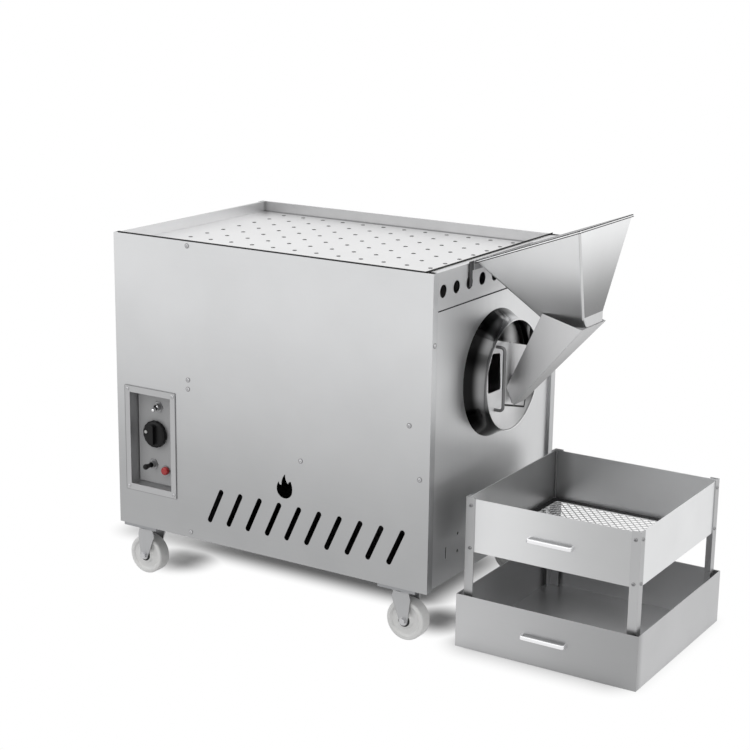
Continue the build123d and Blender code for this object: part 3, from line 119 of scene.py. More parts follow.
def rounded(points: Sequence[Point], radius: float | Point, steps: int = 5, closed: bool = True) -> Array:
    """Polyline whose corners are eased by parabolic arcs.

    Each corner C becomes (1-t)^2 A + 2t(1-t) C + t^2 B, with A and B at the radius along its two edges.

    Args:
        points: corners in order, in two or three dimensions.
        radius: ease distance along the edges, one for all or one per corner.
        steps: points per corner.
        closed: whether the last corner joins the first.

    Returns:
        The eased points.
    """
    c = np.asarray(points, float)
    before, after = np.roll(c, 1, 0) - c, np.roll(c, -1, 0) - c
    length_b = np.linalg.norm(before, axis=1, keepdims=True)
    length_a = np.linalg.norm(after, axis=1, keepdims=True)
    ease = np.broadcast_to(np.asarray(radius, float), (len(c),)).reshape(-1, 1)
    ease = np.minimum(ease, 0.49 * np.minimum(length_a, length_b))
    a = c + before / length_b * ease
    b = c + after / length_a * ease
    t = np.linspace(0, 1, steps).reshape(1, -1, 1)
    arcs = (1 - t) ** 2 * a[:, None] + 2 * t * (1 - t) * c[:, None] + t**2 * b[:, None]
    if closed:
        return arcs.reshape(-1, c.shape[1])
    return np.vstack([c[:1], arcs[1:-1].reshape(-1, c.shape[1]), c[-1:]])


def grid_shell(points: Array, wrap_u: bool = False, wrap_v: bool = False) -> Shell:
    """Surface over a grid of points.

    Args:
        points: array of shape (u, v, 3).
        wrap_u: whether the last row joins the first.
        wrap_v: whether the last column joins the first.

    Returns:
        The quads of the grid.
    """
    nu, nv = points.shape[:2]
    u = np.arange(nu if wrap_u else nu - 1)
    v = np.arange(nv if wrap_v else nv - 1)
    uu, vv = np.meshgrid(u, v, indexing="ij")
    u1, v1 = (uu + 1) % nu, (vv + 1) % nv
    quads = np.stack([uu * nv + vv, u1 * nv + vv, u1 * nv + v1, uu * nv + v1], -1).reshape(-1, 4)
    return Shell(points.reshape(-1, 3), [tuple(q) for q in quads.tolist()])


def turned(profile: Array, origin: Point, axis: Point, segments: int = 64, closed: bool = False) -> Shell:
    """Surface of revolution: each profile point (along, out) goes round the axis as out*(cos a, sin a).

    Args:
        profile: points (distance along the axis, radius).
        origin: point on the axis where the distance is zero.
        axis: direction of the axis.
        segments: steps round the axis.
        closed: whether the profile is a closed loop, as for a ring.

    Returns:
        The turned surface.
    """
    along = unit(axis)
    side = unit(np.cross(along, LATHE_START))
    other = np.cross(along, side)
    a = np.linspace(0, 2 * np.pi, segments, endpoint=False)
    rim = np.cos(a)[:, None] * side + np.sin(a)[:, None] * other
    p = np.asarray(profile, float)
    points = np.asarray(origin) + p[None, :, :1] * along + p[None, :, 1:2] * rim[:, None, :]
    return grid_shell(points, wrap_u=True, wrap_v=closed)


def swept(path: Array, profile: Array, normal: Point, closed: bool = False) -> Shell:
    """Profile carried along a flat path: point = path + x * side + y * normal, side = tangent x normal.

    Args:
        path: points of the path, in one plane.
        profile: closed loop of (x, y) points.
        normal: normal of the path's plane.
        closed: whether the path is a loop.

    Returns:
        The swept surface, capped where the path is open.
    """
    p = np.asarray(path, float)
    tangent = np.roll(p, -1, 0) - np.roll(p, 1, 0) if closed else np.gradient(p, axis=0)
    tangent /= np.linalg.norm(tangent, axis=1, keepdims=True)
    n = unit(normal)
    side = np.cross(tangent, n)
    points = p[:, None] + profile[None, :, :1] * side[:, None] + profile[None, :, 1:2] * n
    shell = grid_shell(points, wrap_u=closed, wrap_v=True)
    if not closed:
        m, last = len(profile), (len(p) - 1) * len(profile)
        shell.faces += [tuple(range(m)), tuple(range(last + m - 1, last - 1, -1))]
    return shell


def prism(loop: Array, origin: Point, across: Point, up: Point, depth: float) -> Shell:
    """Flat outline pushed along its normal: point = origin + x * across + y * up + (0 or depth) * normal.

    Args:
        loop: outline points (x, y).
        origin: place of the outline's zero.
        across: direction of x.
        up: direction of y.
        depth: length along across x up.

    Returns:
        The capped prism.
    """
    ex, ey = unit(across), unit(up)
    flat = np.asarray(origin) + loop[:, :1] * ex + loop[:, 1:2] * ey
    points = np.stack([flat, flat + depth * np.cross(ex, ey)])
    shell = grid_shell(points, wrap_v=True)
    n = len(loop)
    shell.faces += [tuple(range(n)), tuple(range(2 * n - 1, n - 1, -1))]
    return shell


def ring_profile(radius: float, steps: int = 12) -> Array:
    """Circle of a wire as a closed profile."""
    a = np.linspace(0, 2 * np.pi, steps, endpoint=False)
    return radius * np.stack([np.cos(a), np.sin(a)], 1)


def box_profile(width: float, height: float, ease: float = 0.0002, steps: int = 2) -> Array:
    """Rectangle with eased corners, centred, as a closed profile."""
    w, h = width / 2, height / 2
    return rounded([(-w, -h), (w, -h), (w, h), (-w, h)], ease, steps)


def slug_profile(start: float, end: float, radius: float, bore: float = 0.0) -> Array:
    """Half outline of a round slug: from one end's bore over the rim to the other end's bore."""
    return np.array([(start, bore), (start, radius), (end, radius), (end, bore)])


@dataclass(frozen=True)
class PaintedShade:
    """Painted shade that darkens metal round one place, standing for shade and dark reflections that fall
    there.

    Attributes:
        middle: place it spreads from.
        near: distance within which it is full.
        far: distance at which it ends.
        share: share of the clean colour left under the full film.
        squeeze: how many times faster it fades along X, Y and Z.
    """

    middle: Triple
    near: float
    far: float
    share: float
    squeeze: Triple = (1.0, 1.0, 1.0)


class Graph:
    """Small helper that builds the node tree of a material or of the surroundings."""

    noise_range: Pair = (0.3, 0.7)

    def __init__(self, holder: bpy.types.ID) -> None:
        """Switch on the holder's nodes."""
        holder.use_nodes = True
        self.holder, self.tree = holder, holder.node_tree

    def feed(self, socket: Socket, value: object) -> None:
        """Link another socket to an input, or set a plain value there.

        Args:
            socket: the input.
            value: the socket to link, or the plain value.
        """
        if isinstance(value, Socket):
            self.tree.links.new(value, socket)
        else:
            socket.default_value = value

    def step(self, kind: str, *inputs: object, **settings: object) -> Socket:
        """Add a node, set its properties and feed the inputs in use.

        Args:
            kind: node class name without its ShaderNode prefix.
            inputs: sockets or plain values for the inputs in use, in order.
            settings: property names with their values.

        Returns:
            The node's first output in use.
        """
        made = self.tree.nodes.new("ShaderNode" + kind)
        for key, value in settings.items():
            setattr(made, key, value)
        for socket, value in zip([s for s in made.inputs if s.enabled], inputs):
            self.feed(socket, value)
        return next(s for s in made.outputs if s.enabled)

    def place(self) -> Socket:
        """The piece's own coordinates."""
        return self.tree.nodes.new("ShaderNodeTexCoord").outputs["Object"]

    def noise(self, scale: Point, detail: float, seed: float = 0.0) -> Socket:
        """Noise over the piece's own coordinates.

        Args:
            scale: cells per metre along X, Y and Z.
            detail: octaves.
            seed: shift of the pattern.

        Returns:
            The noise value.
        """
        shift = (seed, 1.7 * seed, 0.6 * seed)
        stretched = self.step("Mapping", self.place(), shift, (0, 0, 0), scale)
        return self.step("TexNoise", stretched, 1.0, detail)

    def spread(self, value: Socket, low: float, high: float) -> Socket:
        """Map a noise value's middle range onto low to high."""
        return self.step("MapRange", value, *self.noise_range, low, high)

    def tint(self, value: Socket, dark: Point, light: Point) -> Socket:
        """Blend from dark to light over a noise value's middle range."""
        share = self.spread(value, 0, 1)
        return self.step("Mix", share, (*dark, 1.0), (*light, 1.0), data_type="RGBA")

    def with_painted_shade(self, colour: Socket, painted_shades: Sequence[PaintedShade]) -> Socket:
        """Darken a colour by painted shade: colour * share at the shade's middle, easing to the full colour
        at its rim.

        Args:
            colour: the clean colour.
            painted_shades: place, reach and depth of each painted shade.

        Returns:
            The colour with its painted shade.
        """
        for one_shade in painted_shades:
            offset = self.step("VectorMath", self.place(), one_shade.middle, operation="SUBTRACT")
            flat = self.step("VectorMath", offset, one_shade.squeeze, operation="MULTIPLY")
            away = self.step("VectorMath", flat, operation="LENGTH")
            limits = (one_shade.near, one_shade.far, one_shade.share, 1.0)
            fade = self.step("MapRange", away, *limits, interpolation_type="SMOOTHSTEP")
            colour = self.step("VectorMath", colour, fade, operation="SCALE")
        return colour

    def bump(self, height: Socket, show: float, depth: float, edge: float) -> Socket:
        """Turn a height into a surface normal, over softened edges.

        Args:
            height: height socket.
            show: how much of the bump shows.
            depth: real height of the pattern in metres.
            edge: radius of the softened edges.

        Returns:
            The normal.
        """
        relief = self.tree.nodes.new("ShaderNodeBump")
        soft = self.step("Bevel", edge, samples=4)
        for key, value in {"Strength": show, "Distance": depth, "Height": height, "Normal": soft}.items():
            self.feed(relief.inputs[key], value)
        return relief.outputs["Normal"]

    def seen(self) -> Socket:
        """One for rays from the camera, a reflection or a clear piece, nothing for light's own rays."""
        path = self.tree.nodes.new("ShaderNodeLightPath").outputs
        first = self.step("Math", path["Is Camera Ray"], path["Is Glossy Ray"], operation="MAXIMUM")
        return self.step("Math", first, path["Is Transmission Ray"], operation="MAXIMUM")

    def surface(self, inputs: dict[str, object]) -> Material:
        """Feed the surface shader.

        Args:
            inputs: sockets or plain values by the names of the shader's inputs.

        Returns:
            The finished material.
        """
        for key, value in inputs.items():
            self.feed(self.tree.nodes["Principled BSDF"].inputs[key], value)
        return self.holder


@dataclass(frozen=True)
class Metal:
    """Bare or plated metal with a fine grain along one axis and faint smudges.

    Attributes:
        name: material name.
        colour: reflected colour, linear.
        rough: middle roughness.
        grain: axis that the grain runs along.
        streak: how far the grain moves the roughness.
        smudge: how far handling marks move colour and roughness.
        edge: softened edge radius.
        painted_shades: painted shade on it.
        cells: grain cells per metre, along the grain and across it.
        marks: smudges per metre.
        relief: height of the grain in metres.
        show: how much of that height shows.
    """

    name: str
    colour: Triple
    rough: float
    grain: Axis = Axis.X
    streak: float = 0.05
    smudge: float = 0.06
    edge: float = 0.0006
    painted_shades: tuple[PaintedShade, ...] = ()
    cells: Pair = (9.0, 1600.0)
    marks: float = 7.0
    relief: float = 0.00001
    show: float = 0.12

    def build(self) -> Material:
        """Make the material."""
        g = Graph(bpy.data.materials.new(self.name))
        fine = g.noise(tuple(np.where(np.array(self.grain.value) > 0, *self.cells)), detail=2.0)
        cloud = g.noise((self.marks,) * 3, detail=4.0, seed=3.1)
        light = np.array(self.colour)
        streaks = g.spread(fine, self.rough - self.streak, self.rough + self.streak)
        dull = g.spread(cloud, self.smudge / 2, -self.smudge / 2)
        return g.surface(
            {
                "Metallic": 1.0,
                "Base Color": g.with_painted_shade(g.tint(cloud, light * (1 - self.smudge), light), self.painted_shades),
                "Roughness": g.step("Math", streaks, dull, operation="ADD"),
                "Normal": g.bump(fine, self.show, self.relief, self.edge),
            }
        )


@dataclass(frozen=True)
class Coating:
    """Paint, plastic or rubber with a fine moulded grain.

    Attributes:
        name: material name.
        colour: main colour, linear.
        rough: roughness.
        shade: how much darker the low spots are.
        grain: grain cells per metre.
        relief: grain height in metres.
        coat: clear coat weight.
        gloss: specular level.
        spots: low spots per metre.
        vary: how far the grain moves the roughness.
        show: how much of the grain's height shows.
        edge: softened edge radius.
    """

    name: str
    colour: Triple
    rough: float
    shade: float = 0.12
    grain: float = 900.0
    relief: float = 0.00003
    coat: float = 0.0
    gloss: float = 0.5
    spots: float = 24.0
    vary: float = 0.05
    show: float = 0.25
    edge: float = 0.0005

    def build(self) -> Material:
        """Make the material."""
        g = Graph(bpy.data.materials.new(self.name))
        fine = g.noise((self.grain,) * 3, detail=2.0)
        cloud = g.noise((self.spots,) * 3, detail=3.0, seed=5.3)
        light = np.array(self.colour)
        return g.surface(
            {
                "Base Color": g.tint(cloud, light * (1 - self.shade), light),
                "Roughness": g.spread(fine, self.rough - self.vary, self.rough + self.vary),
                "Coat Weight": self.coat,
                "Specular IOR Level": self.gloss,
                "Normal": g.bump(fine, self.show, self.relief, self.edge),
            }
        )


@dataclass(frozen=True)
class Scorched:
    """Steel dulled by heat, with darker patches and a rough grain.

    Attributes:
        name: material name.
        light: colour of the cleaner metal, linear.
        dark: colour of the burnt patches, linear.
        rough: roughness of the cleaner metal.
        bare: how much of it is bare metal rather than scale.
        painted_shades: painted shade on it.
        patches: burnt patches per metre.
        dull: how much rougher they are.
        grain: grain cells per metre.
        relief: grain height in metres.
        show: how much of that height shows.
        edge: softened edge radius.
    """

    name: str
    light: Triple
    dark: Triple
    rough: float
    bare: float = 0.9
    painted_shades: tuple[PaintedShade, ...] = ()
    patches: float = 14.0
    dull: float = 0.2
    grain: float = 700.0
    relief: float = 0.00004
    show: float = 0.3
    edge: float = 0.0005

    def build(self) -> Material:
        """Make the material."""
        g = Graph(bpy.data.materials.new(self.name))
        patch = g.noise((self.patches,) * 3, detail=5.0)
        fine = g.noise((self.grain,) * 3, detail=3.0, seed=2.0)
        return g.surface(
            {
                "Metallic": self.bare,
                "Base Color": g.with_painted_shade(g.tint(patch, self.dark, self.light), self.painted_shades),
                "Roughness": g.spread(patch, self.rough + self.dull, self.rough),
                "Normal": g.bump(fine, self.show, self.relief, self.edge),
            }
        )


def build_finishes() -> dict[str, Material]:
    """Make every finish of the roaster once, its painted shade placed by the nodes it lies on.

    Returns:
        The materials by name.
    """
    panel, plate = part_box("control_side_panel")[0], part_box("end_plate")[0]
    flare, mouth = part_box("mouth_collar")
    tray_low, tray_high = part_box("top_tray")
    sieve_low, sieve_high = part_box("sieve_box")
    catch_low, catch_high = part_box("catch_tray")
    # Painted shade: the side and rear panels darker towards their foot.
    foot = PaintedShade((0.0, 0.0, panel.z), 0.02, 0.47, 0.60, Z)
    # Painted reflection on the polished collar: dark at its root, low side, shoulder and belly, where it
    # would mirror dark surroundings.
    root = PaintedShade((flare.x, 0.0, 0.0), 0.010, 0.024, 0.05, X)
    collar_low_shade = PaintedShade((flare.x + 0.012, 0.62 * flare.y, 0.17 * mouth.z + 0.83 * flare.z), 0.030, 0.060, 0.06)
    shoulder = PaintedShade((flare.x + 0.012, 0.71 * flare.y, 0.80 * mouth.z + 0.20 * flare.z), 0.025, 0.055, 0.18)
    belly = PaintedShade((flare.x + 0.018, flare.y, 0.52 * mouth.z + 0.48 * flare.z), 0.034, 0.066, 0.30)
    # Painted shade on the gate: darker on its far side, under the chute.
    side = PaintedShade((0.0, 0.060, 0.372), 0.018, 0.030, 0.50, (0.0, 0.8, 1.0))
    dish = PaintedShade((0.0, 0.080, 0.350), 0.020, 0.090, 0.50, (0.0, 1.0, 1.0))
    # Painted shade: the end plate darker towards its foot.
    under = PaintedShade((0.0, 0.0, plate.z), 0.0, 0.50, 0.82, Z)
    # Painted shade: the funnel's walls darker low down, near the throat.
    near = PaintedShade((0.0, 0.0, plate.z + 0.43), 0.0, 0.09, 0.68, Z)
    front_shade = PaintedShade((0.0, 0.0, plate.z + 0.42), 0.0, 0.155, 0.23, Z)
    # Painted shade: the chute darker round its tip by the mouth.
    tip = PaintedShade((mouth.x, 0.0, plate.z + 0.22), 0.06, 0.22, 0.85)
    sole = PaintedShade((mouth.x, 0.0, plate.z + 0.22), 0.06, 0.22, 0.45)
    # Painted shade on the top tray: its far corner, far wall and floor darker.
    corner = PaintedShade((tray_low.x, tray_high.y, tray_high.z), 0.10, 0.50, 0.90, (1.0, 12.0, 4.0))
    far_wall = PaintedShade((0.0, tray_high.y, 0.0), 0.002, 0.010, 0.54, Y)
    bed = PaintedShade((0.0, 0.0, tray_low.z), 0.001, 0.004, 0.91, Z)
    # Painted shade: the sieve's and catch tray's fronts darker towards one end, the sieve's left wall and the
    # catch tray's inside darker.
    sieve = PaintedShade((sieve_high.x, sieve_low.y, sieve_low.z), 0.0, 0.30, 0.62, (1.0, 15.0, 0.3))
    left = PaintedShade((sieve_low.x, 0.03, sieve_high.z), 0.03, 0.05, 0.52, (1.0, 0.26, 0.1))
    catch = PaintedShade((catch_high.x, catch_low.y, catch_low.z), 0.0, 0.32, 0.66, (1.0, 15.0, 0.3))
    inside = PaintedShade((catch_low.x + 0.09, 0.02, catch_low.z), 0.09, 0.155, 0.76, (1.0, 1.0, 0.3))
    collar_painted_reflection = (root, collar_low_shade, shoulder, belly)
    # Painted light and shade: the pale funnel and the end, fascia, spigot, funnel-inside, chute, chute-floor,
    # tray, sieve, catch, leg and recess finishes below are one stainless sheet set lighter or darker for how
    # the light falls on each part.
    steel, pale = (0.69, 0.695, 0.702), (0.95, 0.955, 0.96)
    finishes = (
        Metal("satin_sheet_x", steel, 0.36, Axis.X, painted_shades=(foot,)),
        Metal("satin_sheet_z", steel, 0.36, Axis.Z, painted_shades=(foot,)),
        Metal("end_sheet", (0.75, 0.755, 0.76), 0.40, Axis.Z, painted_shades=(under,)),
        Metal("funnel_sheet", pale, 0.36, Axis.Z, painted_shades=(near,)),
        Metal("funnel_front", pale, 0.36, Axis.Z, painted_shades=(front_shade,)),
        Metal("funnel_spigot", (0.64, 0.642, 0.647), 0.36, Axis.Z),
        Metal("funnel_inside", (0.30, 0.30, 0.305), 0.40, Axis.Z),
        Metal("chute_sheet", (0.64, 0.64, 0.645), 0.36, Axis.Z, painted_shades=(tip,)),
        Metal("chute_floor", (0.50, 0.50, 0.505), 0.36, Axis.Z, painted_shades=(sole,)),
        Metal("fascia_sheet", (0.70, 0.702, 0.707), 0.40, Axis.Y),
        Metal("tray_sheet", (0.86, 0.86, 0.865), 0.36, Axis.X, painted_shades=(corner, far_wall, bed)),
        Metal("sieve_sheet", (0.78, 0.785, 0.79), 0.36, Axis.X, painted_shades=(sieve, left)),
        Metal("catch_sheet", (0.53, 0.532, 0.538), 0.40, Axis.X, painted_shades=(catch, inside)),
        Metal("leg_sheet", (0.46, 0.462, 0.467), 0.40, Axis.Z),
        Metal("recess_sheet", (0.47, 0.472, 0.477), 0.42, Axis.Z),
        Metal("hook_steel", (0.10, 0.10, 0.102), 0.40, Axis.Z),
        # Dark tone of the gate's wire: painted shade.
        Metal("wire_steel", (0.17, 0.17, 0.172), 0.32, Axis.Z, 0.04, 0.1),
        Metal("nut_steel", (0.30, 0.30, 0.305), 0.35, Axis.X, 0.04, 0.1, 0.0003),
        Metal("seam_steel", (0.72, 0.72, 0.725), 0.45, Axis.Z),
        # Darker tone of the castor plates: painted shade under the panel's lower edge.
        Metal("plate_steel", (0.34, 0.345, 0.355), 0.45, Axis.X, 0.05, 0.14),
        Metal("polished_steel", (0.80, 0.803, 0.81), 0.13, Axis.Y, 0.02, 0.03, painted_shades=collar_painted_reflection),
        Metal("switch_chrome", (0.75, 0.75, 0.76), 0.12, Axis.X, 0.03, 0.04, 0.0003),
        Metal("handle_aluminium", (0.88, 0.88, 0.89), 0.30, Axis.X, 0.05, 0.04),
        Metal("mesh_steel", (0.86, 0.86, 0.865), 0.26, Axis.X, 0.05, 0.04, 0.0002),
        Metal("zinc_steel", (0.46, 0.463, 0.47), 0.42, Axis.Z, 0.05, 0.14),
        Metal("roller_steel", (0.50, 0.50, 0.51), 0.30, Axis.Y),
        Metal("gas_brass", (0.62, 0.45, 0.18), 0.25, Axis.X),
        Metal("screw_steel", (0.55, 0.55, 0.56), 0.26, Axis.Y, 0.03, 0.1, 0.0002),
        # Near-black steel for painted shadow lines and rings.
        Metal("dark_steel", (0.035, 0.035, 0.036), 0.5, Axis.X, 0.05, 0.2, 0.0002),
        Coating("recess_paint", (0.46, 0.462, 0.467), 0.6, 0.05, gloss=0.3),
        Coating("frame_paint", (0.18, 0.185, 0.19), 0.5),
        Coating("motor_paint", (0.03, 0.035, 0.04), 0.4),
        Coating("belt_rubber", (0.012, 0.012, 0.012), 0.75),
        Coating("white_nylon", (0.85, 0.85, 0.84), 0.42, 0.05, 500.0, 0.00002),
        Coating("black_plastic", (0.004, 0.004, 0.0045), 0.42, 0.2, 1400.0, gloss=0.22),
        Coating("red_plastic", (0.45, 0.010, 0.012), 0.25, 0.15, 1400.0, 0.00001, 0.2),
        Coating("pointer_paint", (0.55, 0.55, 0.54), 0.5, 0.05),
        Scorched("gate_sheet", (0.74, 0.74, 0.745), (0.64, 0.64, 0.645), 0.36, 0.5, (side, dish)),
        Scorched("drum_steel", (0.40, 0.40, 0.405), (0.30, 0.296, 0.293), 0.5, 0.12),
        Scorched("burner_iron", (0.09, 0.09, 0.095), (0.03, 0.028, 0.026), 0.6),
        Scorched("bearing_iron", (0.14, 0.14, 0.15), (0.07, 0.07, 0.07), 0.55),
    )
    return {finish.name: finish.build() for finish in finishes}


PLAIN_SHEET = "satin_sheet_x"
CORNERS = ("rear_left", "rear_right", "mouth_left", "mouth_right")
FRAME_PARTS = ("base_frame", "top_frame", "corner_posts", "bulkhead")
BRACKETS = ("motor_bracket", "roller_bracket", "burner_rest")
NODE_FINISHES: dict[str, tuple[str, ...]] = {
    "frame_paint": FRAME_PARTS + BRACKETS,
    "burner_iron": ("burner", "heat_pan"),
    "bearing_iron": ("shaft_bearing", "drum_pulley", "motor_pulley"),
    "drum_steel": ("drum_shell", "drum_cone", "drum_back", "drum_flights"),
    "roller_steel": ("drum_shaft", "roller_left", "roller_right", "roller_pins"),
    "motor_paint": ("gearmotor",),
    "belt_rubber": ("drive_belt",),
    "plate_steel": ("castor_plates",),
    "white_nylon": tuple(f"castor_wheel_{corner}" for corner in CORNERS),
    "zinc_steel": tuple(f"castor_fork_{corner}" for corner in CORNERS),
    "gas_brass": ("gas_inlet", "gas_pipe"),
    "black_plastic": ("cable_gland", "speed_control", "speed_knob", "direction_toggle"),
    "nut_steel": ("ignition_body", "toggle_bodies"),
    "red_plastic": ("ignition_button",),
    "switch_chrome": ("power_toggle",),
    "handle_aluminium": ("catch_handle", "sieve_handle"),
    "polished_steel": ("mouth_collar",),
    "wire_steel": ("gate_handle",),
    "hook_steel": ("hopper_hooks",),
    "leg_sheet": ("sieve_legs",),
    "end_sheet": ("end_plate",),
    "fascia_sheet": ("vent_fascia",),
    "gate_sheet": ("mouth_gate",),
    "tray_sheet": ("top_tray",),
    "sieve_sheet": ("sieve_box",),
    "catch_sheet": ("catch_tray",),
    "recess_sheet": ("control_box",),
    "satin_sheet_z": ("rear_panel",),
}


def dress_nodes(finishes: dict[str, Material]) -> None:
    """Give every carried-over node its finish, plain sheet where none is listed.

    Args:
        finishes: the roaster's materials.
    """
    wears = {node: finish for finish, nodes in NODE_FINISHES.items() for node in nodes}
    for name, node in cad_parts.items():
        finish = finishes[wears.get(name, PLAIN_SHEET)]
        node.data.materials.clear()
        node.data.materials.append(finish)
        LOG.info("node %s wears %s", name, finish.name)


def screw_heads(centres: Sequence[Point], outward: Point, radius: float, height: float) -> Shell:
    """Cross-recessed round heads on a face.

    A square grid (s, t) is drawn onto a disc by x = s*sqrt(1 - t^2/2), y = t*sqrt(1 - s^2/2). The head's
    height is a dome sqrt(1 - r^2) on a low rim, lowered inside a cross.

    Args:
        centres: places on the face.
        outward: the face's outward direction.
        radius: head radius.
        height: head height.

    Returns:
        All the heads as one surface.
    """
    cross_width, cross_reach, cross_depth, rim = 0.13, 0.6, 0.45, 0.25
    out = unit(outward)
    across = unit(np.cross(out, CROSS_LIE))
    up = np.cross(out, across)
    s, t = np.meshgrid(np.linspace(-1, 1, 15), np.linspace(-1, 1, 15), indexing="ij")
    x, y = s * np.sqrt(1 - t**2 / 2), t * np.sqrt(1 - s**2 / 2)
    r2 = np.clip(x**2 + y**2, 0, 1)
    cross = (np.minimum(abs(x), abs(y)) < cross_width) & (np.maximum(abs(x), abs(y)) < cross_reach)
    z = np.sqrt(1 - r2) * (1 - rim) + rim * (r2 < 0.97) - cross_depth * cross
    head = radius * (x[..., None] * across + y[..., None] * up) + height * z[..., None] * out
    return repeated(grid_shell(head), centres)


def linked(name: str, data: bpy.types.ID) -> bpy.types.Object:
    """Put a new object into the scene.

    Args:
        name: object name.
        data: its mesh, camera or lamp.

    Returns:
        The new object.
    """
    made = bpy.data.objects.new(name, data)
    bpy.context.scene.collection.objects.link(made)
    return made


def face_values(made: bpy.types.Object, kind: str) -> Array:
    """Read one kind of vector from all of a piece's faces.

    Args:
        made: the piece.
        kind: center or normal.

    Returns:
        One row per face.
    """
    values = np.empty(3 * len(made.data.polygons))
    made.data.polygons.foreach_get(kind, values)
    return values.reshape(-1, 3)


@dataclass
class Assembly:
    """A sub-assembly of the roaster, with the finishes that its pieces wear."""

    finishes: dict[str, Material]

    def repaint(self, made: bpy.types.Object, index: Array, *names: str) -> None:
        """Give some of a piece's faces further finishes.

        Args:
            made: the piece.
            index: finish of each face, zero for the piece's own and then counting the further ones.
            names: the further finishes.
        """
        for name in names:
            made.data.materials.append(self.finishes[name])
        made.data.polygons.foreach_set("material_index", index.astype(np.int32))

    def add(
        self,
        name: str,
        shell: Shell,
        body: str,
        finish: str,
        slot: str = "sheet_steel",
        replaces: Sequence[str] = (),
        bevel: float = 0.0,
        sharp: float = 40.0,
        wall: float = 0.0,
    ) -> bpy.types.Object:
        """Make a finished piece that rides on a body.

        Args:
            name: piece name.
            shell: its surface.
            body: body it rides on.
            finish: name of its finish.
            slot: record slot its finish belongs to; not used.
            replaces: CAD nodes it stands for.
            bevel: edge rounding, none if zero.
            sharp: angle in degrees above which an edge stays sharp.
            wall: sheet thickness given to an open surface, none if zero.

        Returns:
            The new object.
        """
        mesh = bpy.data.meshes.new(name)
        mesh.from_pydata(shell.points.tolist(), [], shell.faces)
        work = bmesh.new()
        work.from_mesh(mesh)
        bmesh.ops.remove_doubles(work, verts=work.verts, dist=WELD)
        bmesh.ops.dissolve_degenerate(work, edges=work.edges, dist=SLIVER)
        bmesh.ops.recalc_face_normals(work, faces=work.faces)
        work.to_mesh(mesh)
        work.free()
        mesh.polygons.foreach_set("use_smooth", np.ones(len(mesh.polygons), bool))
        mesh.set_sharp_from_angle(angle=radians(sharp))
        mesh.materials.append(self.finishes[finish])
        made = linked(name, mesh)
        if wall:
            sheet = made.modifiers.new("sheet", "SOLIDIFY")
            sheet.thickness = wall
            sheet.offset = 0.0
        if bevel:
            ease = made.modifiers.new("edge_ease", "BEVEL")
            ease.width = bevel
            ease.segments = 2
            ease.limit_method = "ANGLE"
            ease.angle_limit = radians(EASE_ANGLE)
        flat = made.modifiers.new("flat_faces", "WEIGHTED_NORMAL")
        flat.keep_sharp = True
        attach(made, body)
        if replaces:
            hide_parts(*replaces)
        LOG.info("piece %s rides on %s, %d faces", name, body, len(mesh.polygons))
        return made


